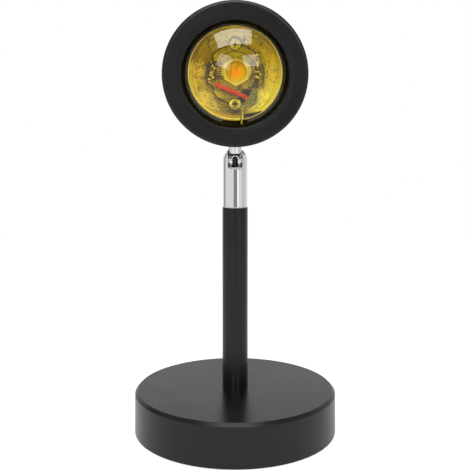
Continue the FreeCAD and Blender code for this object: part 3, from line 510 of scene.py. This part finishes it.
def solder_mask(name):
    """Pale board coating with painted shade towards its top, browned round the joints, with dark tracks and a
    painted shadow line at its rim.
    """
    material, t, shader = new_material(name)
    parts = t.parts(t.in_head())
    radius, turn = t.polar()
    cloud = t.noise(mask_cloud_scale, detail=4.0, roughness=0.65, vector=t.in_head(),
                    distortion=0.8)
    patchy = t.spread(cloud, *mask_patch_range)
    wobble = t.around(cloud, mask_wobble)
    uneven = t.math("ADD", radius, wobble)
    track = t.within(t.math("SUBTRACT", uneven, mask_track_radius), mask_line)
    hairs = t.hairs(mask_hair_scale, mask_hair_width)
    lines = t.math("MAXIMUM", t.math("MULTIPLY", track, mask_track_share),
                   t.math("MULTIPLY", hairs, mask_hair_share))
    at_height = t.within(t.math("ADD", parts["Y"], wobble), mask_joint_height)
    beside = t.math("GREATER_THAN", t.math("ABSOLUTE", parts["X"]), mask_joint_from)
    browned = t.math("MULTIPLY", t.math("MULTIPLY", at_height, beside), mask_joint_share)
    lobes = t.math("SINE", t.math("MULTIPLY", turn, mask_border_lobes * math.pi))
    outline = t.math("ADD", mask_border_radius,
                     t.math("MULTIPLY", t.math("ABSOLUTE", lobes), mask_border_lobe))
    beyond = t.math("SUBTRACT", radius, t.math("ADD", outline, wobble))

    tone = t.blend(patchy, mask_dull_tone, mask_clean_tone)
    # Painted shade, darker towards the top of the board.
    tone = t.blend(t.spread(parts["Y"], *mask_painted_shade_range), tone, mask_painted_shade_tone)
    tone = t.blend(lines, tone, mask_track_tone)
    tone = t.blend(browned, tone, mask_joint_tone)
    tone = t.blend(t.math("GREATER_THAN", beyond, 0.0), tone,
                   t.blend(patchy, mask_rim_dull_tone, mask_rim_tone))
    # Painted shadow line along the board's scalloped edge.
    border = t.math("MULTIPLY", t.within(beyond, mask_line), mask_border_share)
    tone = t.blend(border, tone, mask_edge_shadow_tone)
    height = t.math("ADD", cloud, t.math("MULTIPLY", track, mask_track_height))
    t.feed(shader.inputs["Base Color"], tone)
    t.feed(shader.inputs["Roughness"], t.spread(cloud, *mask_polish_range))
    t.feed(shader.inputs["Normal"], t.bump(height, strength=0.6, distance=mask_depth))
    return material


# Painted glow of the unlit phosphor.
phosphor_painted_glow = 0.2
phosphor_fade = (0.3 * millimetre, 2.1 * millimetre)
phosphor_grain_scale = 2500.0
phosphor_depth = 0.03 * millimetre
phosphor_core_tone = colour(1.0, 0.36, 0.0)
phosphor_rim_tone = colour(0.80, 0.50, 0.01)


def glowing_phosphor(name):
    """Orange phosphor, deepest in the middle, with a faint painted glow though the LED is off."""
    material, t, shader = new_material(name, Roughness=0.5, Emission_Strength=phosphor_painted_glow)
    distance = t.node("ShaderNodeVectorMath", {0: t.in_head(middle("phosphor"))},
                      operation="LENGTH").outputs["Value"]
    grain = t.noise(phosphor_grain_scale, detail=2.0, vector=t.in_head())
    tone = t.blend(t.spread(distance, *phosphor_fade), phosphor_core_tone, phosphor_rim_tone)
    t.feed(shader.inputs["Base Color"], tone)
    t.feed(shader.inputs["Emission Color"], tone)
    t.feed(shader.inputs["Normal"], t.bump(grain, strength=0.3, distance=phosphor_depth))
    return material


shell_wobble = 0.5 * millimetre
shell_fade = (3.4 * millimetre, 4.0 * millimetre)
shell_grain_scale = 500.0
shell_depth = 0.05 * millimetre
shell_inner_tone = colour(0.48, 0.31, 0.003)
# Pale rim: painted reflection along the edge of the emitter's base.
shell_rim_reflection_tone = colour(0.80, 0.72, 0.50)


def emitter_shell(name):
    """Yellow round the phosphor, with a paler rim at the edge of the emitter's base that is a painted reflection.
    """
    material, t, shader = new_material(name, Roughness=0.3)
    centre = board_centre.copy()
    centre.x = middle("phosphor").x
    radius = t.axis_distance(t.parts(t.in_head(centre)))
    grain = t.noise(shell_grain_scale, roughness=0.6, vector=t.in_head())
    edge = t.math("ADD", radius, t.around(grain, shell_wobble))
    tone = t.blend(t.spread(edge, *shell_fade), shell_inner_tone, shell_rim_reflection_tone)
    t.feed(shader.inputs["Base Color"], tone)
    t.feed(shader.inputs["Normal"], t.bump(grain, strength=0.3, distance=shell_depth))
    return material


winding_pitch = 0.8 * millimetre
winding_height = 0.3
winding_depth = 0.1 * millimetre
winding_range = (0.3, 0.8)
winding_wear_scale = 900.0
winding_polish_range = (0.3, 0.7, 0.25, 0.45)
winding_dark_tone = colour(0.10, 0.055, 0.02)
winding_light_tone = colour(0.52, 0.38, 0.2)


def striped_brown(name):
    """Brown coated component with raised windings."""
    material, t, shader = new_material(name)
    up = t.parts(t.in_head())["Y"]
    wave = t.math("SINE", t.math("MULTIPLY", up, math.tau / winding_pitch))
    wear = t.noise(winding_wear_scale, roughness=0.6, vector=t.in_head())
    height = t.math("ADD", t.math("MULTIPLY", wave, winding_height), wear)
    tone = t.blend(t.spread(height, *winding_range), winding_dark_tone, winding_light_tone)
    t.feed(shader.inputs["Base Color"], tone)
    t.feed(shader.inputs["Roughness"], t.spread(wear, *winding_polish_range))
    t.feed(shader.inputs["Normal"], t.bump(height, strength=0.6, distance=winding_depth))
    return material


# ---- Materials of the pieces ----
# Each has its kind, then its tone or tint, its roughness or IOR, and what else differs.

recipes = {
    "satin_black_paint": (satin_paint, 0.0035, 0.3),
    "base_black_paint": (satin_paint, 0.0045, 0.28),
    "polished_chrome": (metal, (0.86, 0.86, 0.87), 0.05),
    "cast_iron": (metal, (0.16, 0.16, 0.16), 0.55, {"wear": 0.2}),
    "zinc_steel": (metal, (0.62, 0.63, 0.62), 0.24, {"wear": 0.12}),
    "black_rubber": (plastic, (0.008, 0.008, 0.008), 0.7),
    "black_plastic": (plastic, (0.007, 0.007, 0.008), 0.5),
    "black_flock": (plastic, (0.004, 0.004, 0.004), 0.85, {"gloss": 0.05}),
    "white_nylon": (plastic, (0.9, 0.9, 0.9), 0.35),
    "brass": (metal, (0.78, 0.58, 0.28), 0.25),
    "amber_glass": (glass, (0.95, 0.82, 0.15), 1.5),
    "bright_aluminium": (crinkled_foil,),
    "polished_aluminium": (metal, (0.92, 0.91, 0.88), 0.12, {"wear": 0.1}),
    "cast_aluminium": (turned_aluminium,),
    "thermal_grey": (plastic, (0.4, 0.42, 0.45), 0.6),
    "white_solder_mask": (solder_mask,),
    # Pale bluish wings beside the emitter: a painted reflection.
    "white_nylon_skirt": (plastic, (0.64, 0.62, 0.66), 0.2),
    "green_board": (plastic, (0.03, 0.16, 0.07), 0.3),
    "emitter_cream": (emitter_shell,),
    "phosphor_yellow": (glowing_phosphor,),
    "component_brown": (striped_brown,),
    "component_tan": (plastic, (0.42, 0.33, 0.1), 0.35, {"contrast": 0.4}),
    "joint_brown": (plastic, (0.09, 0.055, 0.025), 0.3, {"contrast": 0.5}),
    "pale_thread": (plastic, (0.72, 0.66, 0.1), 0.45),
    # Near-white lip of the cup: a painted highlight line.
    "rolled_edge": (plastic, (0.95, 0.95, 0.86), 0.3),
    "clear_silicone": (glass, (0.98, 0.97, 0.93), 1.41),
    "solder": (metal, (0.8, 0.8, 0.8), 0.15, {"wear": 0.15}),
    "red_insulation": (plastic, (0.58, 0.025, 0.005), 0.32, {"contrast": 0.3}),
    "black_insulation": (plastic, (0.014, 0.014, 0.014), 0.35),
    "component_black": (plastic, (0.03, 0.03, 0.033), 0.4),
}


def make_material(name):
    kind, *values = recipes[name]
    extra = values.pop() if values and isinstance(values[-1], dict) else {}
    return kind(name, *values, **extra)


materials = {name: make_material(name) for name in recipes}
slot_of = {part["node"]: part["material_slot"] for part in frame["record"]["subparts"]}
own_material = {"base_shell": "base_black_paint", "light_baffle": "black_flock",
                "lens_gasket": "black_flock"}

for name, obj in nodes.items():
    obj.data.materials.clear()
    obj.data.materials.append(materials[own_material.get(name, slot_of[name])])

# Light from the lamps reaches the inside of the head through its clear pieces.
for name in ("lens", "emitter_dome"):
    nodes[name].visible_shadow = False


# ---- Shapes of the small pieces ----
# Places are (sideways, up, out) in millimetres, from the centre that the piece is placed by.

round_sides = 12         # corners of a round section
screw_steps = 48         # steps of a ring on a screw, round the emitter and on the cup
emitter_steps = 96
cup_steps = 160
edge_segments = 3
drop_subdivisions = 3
drop_noise_scale = 1.7
drop_bite = 0.02         # how far a drop of solder reaches into what it sits on


def add_piece(name, shape, material, centre):
    """Turns a bmesh that is drawn in millimetres into a piece of the head."""
    mesh = bpy.data.meshes.new(name)
    bmesh.ops.recalc_face_normals(shape, faces=shape.faces)
    shape.to_mesh(mesh)
    shape.free()
    mesh.transform(head_matrix(centre) @ Matrix.Scale(millimetre, 4))
    for face in mesh.polygons:
        face.use_smooth = True
    piece = bpy.data.objects.new(name, mesh)
    bpy.context.scene.collection.objects.link(piece)
    mesh.materials.append(materials[material])
    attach(piece, "head")


def head_points(node):
    """A node's points as (sideways, up, out) from the board's centre, in millimetres."""
    back = head_matrix(board_centre).inverted()
    return [(back @ vertex.co) / millimetre for vertex in nodes[node].data.vertices]


def chip_shape(shape, x, up, width, height, thickness, edge, turn=0.0, out=0.0):
    """Adds a block with rounded edges that stands out from a level, the board's unless given."""
    cube = bmesh.ops.create_cube(shape, size=1.0)
    size = Matrix.Diagonal((width, height, thickness, 1.0))
    place = Matrix.Translation((x, up, out + thickness / 2))
    place = place @ Matrix.Rotation(math.radians(turn), 4, "Z")
    bmesh.ops.transform(shape, verts=cube["verts"], matrix=place @ size)
    edges = list({e for v in cube["verts"] for e in v.link_edges})
    bmesh.ops.bevel(shape, geom=edges, offset=edge, segments=edge_segments, affect="EDGES")


def blob_shape(shape, x, up, out, radius, squeeze, wobble, seed):
    """Adds a lump of solder that sits on a level, a little out of round."""
    ball = bmesh.ops.create_icosphere(shape, subdivisions=drop_subdivisions, radius=radius)
    for vertex in ball["verts"]:
        place = vertex.co.normalized()
        bulge = wobble * noise.noise(place * drop_noise_scale + Vector((seed, 0, 0)))
        vertex.co = vertex.co * (1.0 + bulge)
        vertex.co.z = max(vertex.co.z * squeeze, -drop_bite)
        vertex.co += Vector((x, up, out))


def join_rings(shape, rings, closed):
    """Joins rings of vertices one after another, back to the first or with two end caps."""
    count = len(rings[0])
    for first, second in zip(rings, rings[1:] + (rings[:1] if closed else [])):
        for k in range(count):
            after = (k + 1) % count
            shape.faces.new((first[k], first[after], second[after], second[k]))
    if not closed:
        shape.faces.new(list(reversed(rings[0])))
        shape.faces.new(rings[-1])


def tube_shape(shape, points, radius, closed=False):
    """Adds a thin wire along smooth points, as a closed loop when asked."""
    rings = []
    last = len(points) - 1
    for index, point in enumerate(points):
        before = points[index - 1] if closed else points[max(index - 1, 0)]
        after = points[(index + 1) % len(points)] if closed else points[min(index + 1, last)]
        turn = (after - before).normalized().to_track_quat("Z", "Y")
        rings.append([shape.verts.new(point + turn @ Vector((along, across, 0)))
                      for along, across in round_profile(0.0, 0.0, radius)])
    join_rings(shape, rings, closed)


def turned_shape(shape, profile, steps, x=0.0, up=0.0):
    """Adds a closed ring turned from a closed (radius, out) profile."""
    rings = []
    for k in range(steps):
        turn = math.tau * k / steps
        rings.append([shape.verts.new((x + r * math.cos(turn), up + r * math.sin(turn), out))
                      for r, out in profile])
    join_rings(shape, rings, closed=True)


def round_profile(radius, out, thick):
    """A round section for a turned ring or a wire."""
    turns = [math.tau * k / round_sides for k in range(round_sides)]
    return [(radius + thick * math.cos(turn), out + thick * math.sin(turn)) for turn in turns]


# ---- Components and solder on the board ----

# Piece, material and slot, then its blocks: sideways, up, width, height, thickness, rounding of
# the edges, turn in degrees.
board_parts = (
    ("board_coils", "component_brown", "component_black", (
        (-5.6, 0.3, 1.9, 4.4, 0.7, 0.12, 0.0),
        (6.3, 0.6, 1.3, 3.6, 0.6, 0.12, 0.0),
    )),
    ("joint_blocks", "joint_brown", "component_black", (
        (-8.0, -0.1, 2.9, 6.6, 0.45, 0.2, 0.0),
        (7.9, 0.2, 2.3, 4.4, 0.45, 0.2, 0.0),
    )),
    ("board_chips", "component_black", "component_black", (
        (1.9, -5.6, 1.3, 0.26, 0.62, 0.05, 40.0),
        (1.9, -5.6, 1.3, 0.26, 0.62, 0.05, -40.0),
        (4.9, -5.8, 1.3, 0.26, 0.62, 0.05, 40.0),
        (4.9, -5.8, 1.3, 0.26, 0.62, 0.05, -40.0),
        (-4.1, -6.7, 0.9, 0.9, 0.7, 0.12, 0.0),
    )),
    ("board_pads", "solder", "solder", (
        (-7.2, 2.9, 0.9, 0.7, 0.22, 0.06, 0.0),
        (-7.3, -2.2, 0.9, 0.7, 0.22, 0.06, 0.0),
        (7.3, 3.1, 0.9, 0.7, 0.22, 0.06, 0.0),
        (6.9, -2.3, 0.8, 0.6, 0.22, 0.06, 0.0),
    )),
    ("board_resistor", "component_tan", "component_black", (
        (3.4, -5.75, 5.0, 1.6, 0.5, 0.12, -4.0),
    )),
)

drop_seed = 7
joint_drop_sides = ((-1.0, 15), (1.0, 10))     # side and number of drops
joint_drop_aside = (7.0, 9.2)                  # ranges of the draws
joint_drop_up = (-3.4, 3.2)
joint_drop_level = 0.42
joint_drop_radius = (0.22, 0.5)
joint_drop_squeeze = (0.6, 0.95)
joint_drop_wobble = 0.5
joint_drop_noise_step = 3.1
corner_drop_count = 9                          # drops on the board's upper right corner
corner_drop_aside = (6.6, 9.0)
corner_drop_line = (12.6, -0.95)               # where they lie: up at the middle, and its slope
corner_drop_scatter = (-0.9, 0.9)
corner_drop_radius = (0.2, 0.45)
corner_drop_squeeze = (0.5, 0.8)
corner_drop_wobble = 0.7
corner_drop_noise = (50, 2.3)

# The board's outline tube is a painted shadow of the gap between the board and the plate.
outline_radius = 0.2
outline_wobble = 0.02
outline_noise_scale = 0.7
outline_digits = 3                             # rounding that joins points of the mesh
front_cosine = 0.99                            # above it, a face belongs to the board's front


def make_board_parts():
    for name, material, slot, blocks in board_parts:
        shape = bmesh.new()
        for block in blocks:
            chip_shape(shape, *block)
        add_piece(name, shape, material, board_centre)


def make_solder_drops():
    """Irregular drops of solder round both rows of joints and at the upper right corner."""
    shape = bmesh.new()
    draw = random.Random(drop_seed)
    for side, count in joint_drop_sides:
        for index in range(count):
            x = side * draw.uniform(*joint_drop_aside)
            up = draw.uniform(*joint_drop_up)
            radius = draw.uniform(*joint_drop_radius)
            squeeze = draw.uniform(*joint_drop_squeeze)
            blob_shape(shape, x, up, joint_drop_level, radius, squeeze, joint_drop_wobble,
                       index * joint_drop_noise_step)
    middle_up, slope = corner_drop_line
    noise_start, noise_step = corner_drop_noise
    for index in range(corner_drop_count):
        x = draw.uniform(*corner_drop_aside)
        up = middle_up + slope * x + draw.uniform(*corner_drop_scatter)
        radius = draw.uniform(*corner_drop_radius)
        squeeze = draw.uniform(*corner_drop_squeeze)
        blob_shape(shape, x, up, 0.0, radius, squeeze, corner_drop_wobble,
                   noise_start + index * noise_step)
    add_piece("solder_drops", shape, "solder", board_centre)


def board_edge():
    """The outline of the board's front, as a loop of points like those of head_points."""
    places = [(round(point.x, outline_digits), round(point.y, outline_digits))
              for point in head_points("led_board")]
    uses = {}
    for face in nodes["led_board"].data.polygons:
        if face.normal.dot(head_out) > front_cosine:
            corners = [places[corner] for corner in face.vertices]
            for first, second in zip(corners, corners[1:] + corners[:1]):
                pair = (min(first, second), max(first, second))
                uses[pair] = uses.get(pair, 0) + 1
    beside = {}
    for (first, second), count in uses.items():
        if count == 1 and first != second:
            beside.setdefault(first, []).append(second)
            beside.setdefault(second, []).append(first)
    start = max(beside, key=lambda place: (math.hypot(*place), place))
    loop = [start, min(beside[start])]
    while loop[-1] != start:
        ahead = [place for place in beside[loop[-1]] if place != loop[-2]]
        loop.append(min(ahead))
    return [Vector((x, up, 0.0)) for x, up in loop[:-1]]


def make_board_outline():
    """Dark uneven line along the board's scalloped edge: a painted shadow of the gap between the board and the
    plate.
    """
    points = []
    for point in board_edge():
        shift = outline_wobble * noise.noise(point * outline_noise_scale)
        points.append(point * (1.0 + shift))
    shape = bmesh.new()
    tube_shape(shape, points, outline_radius, closed=True)
    add_piece("board_outline", shape, "component_black", board_centre)


# ---- Emitter, cup and seam ----

skirt_inner = 3.0
skirt_outer = 5.4
skirt_height = 0.7
skirt_chamfer = 0.2
skirt_low = 0.02
skirt_half_height = 4.1       # up and down, where the skirt is narrower than sideways

lip_radius = 19.3
lip_thick = 0.28

tab_start = -79.0             # degrees from the right
tab_sweep = 25.0
tab_steps = 24
tab_outer = 19.55
tab_inner = 17.3              # at the seam, from where it tapers
tab_taper = 2.1
tab_taper_power = 1.5
tab_levels = ((0.35, 0.5), (0.6, 0.75))    # low and high, at its inner and outer edge

thread_stops = ((2.5, -15.0, 4.3), (2.6, -17.6, 8.9), (2.7, -19.35, 11.7), (2.8, -21.6, 14.6),
                (2.9, -24.6, 18.4))
thread_steps = 6
# Thread, shift sideways, radius and material.
threads = (("pale_thread", 0.25, 0.16, "pale_thread"),
           ("dark_thread", -0.2, 0.24, "black_insulation"))


def make_emitter_skirt():
    """Wings of the emitter's carrier, to its left and right, pale and bluish as a painted reflection."""
    x = (middle("phosphor") - board_centre).x / millimetre
    shape = bmesh.new()
    turned_shape(shape, (
        (skirt_inner, skirt_low), (skirt_outer, skirt_low),
        (skirt_outer, skirt_height - skirt_chamfer), (skirt_outer - skirt_chamfer, skirt_height),
        (skirt_inner, skirt_height),
    ), emitter_steps)
    for vertex in shape.verts:
        vertex.co.y *= skirt_half_height / skirt_outer
        vertex.co.x += x
    add_piece("emitter_skirt", shape, "white_nylon_skirt", board_centre)


def make_cup_lip():
    """Rolled edge of the reflector cup, at the narrow end of the black tube, near white as a painted highlight
    line.
    """
    shape = bmesh.new()
    turned_shape(shape, round_profile(lip_radius, lip_thick, lip_thick), cup_steps)
    add_piece("cup_lip", shape, "rolled_edge", throat_centre)


def make_seam_threads():
    """A pale and a dark thread along the seam, out over the black tube's wall."""
    for name, aside, thick, material in threads:
        points = []
        for first, second in zip(thread_stops, thread_stops[1:]):
            for step in range(thread_steps):
                points.append(Vector(first).lerp(Vector(second), step / thread_steps))
        points.append(Vector(thread_stops[-1]))
        shape = bmesh.new()
        tube_shape(shape, [point + Vector((aside, 0, 0)) for point in points], thick)
        add_piece(name, shape, material, board_centre)


def make_seam_tab():
    """Dark tab of the black tube over the cup's edge, tapering away from the seam."""
    shape = bmesh.new()
    rings = []
    (inner_low, inner_high), (outer_low, outer_high) = tab_levels
    for k in range(tab_steps + 1):
        share = k / tab_steps
        turn = math.radians(tab_start + tab_sweep * share)
        inner = tab_inner + tab_taper * share ** tab_taper_power
        rings.append([shape.verts.new((r * math.cos(turn), r * math.sin(turn), out))
                      for r, out in ((inner, inner_low), (tab_outer, outer_low),
                                     (tab_outer, outer_high), (inner, inner_high))])
    join_rings(shape, rings, closed=False)
    add_piece("seam_tab", shape, "black_flock", throat_centre)


# ---- Faces of the board screws ----
# Rings: share of the screw head's radius, depth under its top, and thickness.

screw_bright_rings = ((0.97, 0.45, 0.14), (0.66, 0.0, 0.1))
screw_dark_ring = (0.82, 0.2, 0.13)
# The black cross is painted shade where the screw's recess lies in shadow.
cross_length = 1.0            # shares of the screw head's radius
cross_width = 0.24
cross_thickness = 0.1
cross_edge = 0.04


def make_screw_faces():
    """Bright rims, a dark ring and a dark cross on each board screw; the black cross is painted shade in the
    screw's recess.
    """
    points = head_points("board_screws")
    rims = bmesh.new()
    crosses = bmesh.new()
    for sign in (1.0, -1.0):
        screw = [point for point in points if point.y * sign > 0.0]
        top = max(point.z for point in screw)
        left, right = min(point.x for point in screw), max(point.x for point in screw)
        low, high = min(point.y for point in screw), max(point.y for point in screw)
        x, up, radius = (left + right) / 2, (low + high) / 2, (right - left) / 2
        for shape, rings in ((rims, screw_bright_rings), (crosses, (screw_dark_ring,))):
            for share, depth, thick in rings:
                profile = round_profile(share * radius, top - depth, thick)
                turned_shape(shape, profile, screw_steps, x, up)
        for width, height in ((cross_length, cross_width), (cross_width, cross_length)):
            chip_shape(crosses, x, up, width * radius, height * radius, cross_thickness,
                       cross_edge, out=top - cross_thickness / 2)
    add_piece("screw_rims", rims, "polished_aluminium", board_centre)
    add_piece("screw_crosses", crosses, "black_flock", board_centre)


make_board_parts()
make_solder_drops()
make_board_outline()
make_emitter_skirt()
make_cup_lip()
make_seam_threads()
make_seam_tab()
make_screw_faces()


# ---- Studio ----

def background_rays(t, path):
    """1 for rays that show the background: to the camera, or by way of metal or glass."""
    seen = t.math("ADD", path.outputs["Is Camera Ray"], path.outputs["Is Glossy Ray"])
    seen = t.math("ADD", seen, path.outputs["Is Transmission Ray"], clamp=True)
    lighting = t.math("MINIMUM", path.outputs["Diffuse Depth"], 1.0)
    return t.math("MULTIPLY", seen, t.math("SUBTRACT", 1.0, lighting))


def mirrored_rays(t, path):
    """1 for rays that have met metal or gloss on their way."""
    return t.math("MINIMUM", path.outputs["Glossy Depth"], 1.0)


def studio_strength(t, direction):
    """White for the camera and through glass. Gloss also finds the room's parts and ceiling."""
    path = t.node("ShaderNodeLightPath")
    way = t.parts(direction)
    forward = t.math("MULTIPLY", way["Y"], -1.0)
    azimuth = t.math("ARCTAN2", way["X"], forward)
    room = room_level
    for level, centre, half_width, edge in room_parts:
        aside = t.math("ABSOLUTE", t.math("SUBTRACT", azimuth, math.radians(centre)))
        outside = t.smooth(aside, math.radians(half_width - edge), math.radians(half_width + edge))
        room = t.between(outside, level, room)
    ahead = t.smooth(forward, front_from, front_to)
    raised = t.smooth(way["Z"], front_rise_from, front_rise_to)
    room = t.between(t.math("MULTIPLY", ahead, raised), room, front_level)
    room = t.between(t.smooth(way["Z"], ceiling_from, ceiling_to), room, ceiling_level)
    background = t.between(mirrored_rays(t, path), world_seen, room)
    return t.between(background_rays(t, path), world_light, background)


def make_world():
    world = bpy.data.worlds.new("studio_world")
    bpy.context.scene.world = world
    world.use_nodes = True
    world.node_tree.nodes.clear()
    t = Tree(world.node_tree)
    direction = t.node("ShaderNodeTexCoord").outputs["Generated"]
    background = t.node("ShaderNodeBackground", {
        "Color": colour(1.0, 1.0, 1.0), "Strength": studio_strength(t, direction),
    })
    output = t.node("ShaderNodeOutputWorld")
    t.feed(output.inputs["Surface"], background.outputs[0])


def make_floor():
    """White table top. It keeps the lamp's shadow and runs out into the white background."""
    mesh = bpy.data.meshes.new("floor")
    shape = bmesh.new()
    bmesh.ops.create_grid(shape, x_segments=floor_cells, y_segments=floor_cells, size=floor_reach)
    shape.to_mesh(mesh)
    shape.free()
    floor = bpy.data.objects.new("floor", mesh)
    bpy.context.scene.collection.objects.link(floor)
    material = bpy.data.materials.new("floor_white")
    material.use_nodes = True
    material.node_tree.nodes.clear()
    t = Tree(material.node_tree)
    path = t.node("ShaderNodeLightPath")
    matte = t.node("ShaderNodeBsdfDiffuse", {"Color": colour(floor_tone, floor_tone, floor_tone)})
    level = t.between(mirrored_rays(t, path), floor_glow, floor_gloss_glow)
    glow = t.node("ShaderNodeEmission", {
        "Color": colour(1.0, 1.0, 1.0),
        "Strength": t.math("MULTIPLY", background_rays(t, path), level),
    })
    near = t.node("ShaderNodeAddShader")
    t.feed(near.inputs[0], matte.outputs[0])
    t.feed(near.inputs[1], glow.outputs[0])
    far = t.node("ShaderNodeEmission", {
        "Color": colour(1.0, 1.0, 1.0), "Strength": studio_strength(t, t.place()),
    })
    distance = t.node("ShaderNodeVectorMath", {0: t.place()}, operation="LENGTH").outputs["Value"]
    table = t.node("ShaderNodeMixShader", {"Fac": t.smooth(distance, floor_near, floor_far)})
    t.feed(table.inputs[1], near.outputs[0])
    t.feed(table.inputs[2], far.outputs[0])
    output = t.node("ShaderNodeOutputMaterial")
    t.feed(output.inputs["Surface"], table.outputs[0])
    mesh.materials.append(material)


def area_light(name, radiance, azimuth, elevation, distance, width, height, roll):
    """Softbox that faces the lens. Azimuth 0 is in front of the lamp and grows to the right."""
    turn = math.radians(azimuth)
    rise = math.radians(elevation)
    way = Vector((math.sin(turn) * math.cos(rise), -math.cos(turn) * math.cos(rise),
                  math.sin(rise)))
    light = bpy.data.lights.new(name, "AREA")
    light.shape = "RECTANGLE"
    light.size = width
    light.size_y = height
    light.energy = radiance * width * height * math.pi
    lamp = bpy.data.objects.new(name, light)
    lamp.location = middle("lens") + way * distance
    aim = (-way).to_track_quat("-Z", "Y") @ Quaternion((0, 0, 1), math.radians(roll))
    lamp.rotation_euler = aim.to_euler()
    bpy.context.scene.collection.objects.link(lamp)
    return lamp


def link_light(lamp, obj, state):
    """Keeps a lamp off one object (EXCLUDE), or on it alone (INCLUDE)."""
    receivers = bpy.data.collections.new(lamp.name + "_receivers")
    receivers.objects.link(obj)
    lamp.light_linking.receiver_collection = receivers
    receivers.collection_objects[0].light_linking.link_state = state


def make_lights():
    top = area_light("softbox_top", top_radiance, **top_softbox)
    link_light(top, nodes["base_shell"], "EXCLUDE")
    top_on_base = area_light("softbox_top_base", top_radiance_on_base, **top_softbox)
    link_light(top_on_base, nodes["base_shell"], "INCLUDE")
    area_light("softbox_left", left_radiance, **left_softbox)
    area_light("softbox_right", right_radiance, **right_softbox)


def make_camera():
    scene = bpy.context.scene
    data = bpy.data.cameras.new("camera")
    data.sensor_width = sensor_width
    data.lens = focal_pixels * sensor_width / image_width
    data.shift_x = (image_width / 2 - axis_column) / image_width
    data.shift_y = (horizon_row - image_width / 2) / image_width
    camera = bpy.data.objects.new("camera", data)
    camera.location = (0.0, -camera_distance, camera_height)
    camera.rotation_euler = (math.radians(90.0), 0.0, 0.0)
    scene.collection.objects.link(camera)
    scene.camera = camera


make_world()
make_floor()
make_camera()
make_lights()

bpy.context.scene.view_settings.view_transform = "Standard"
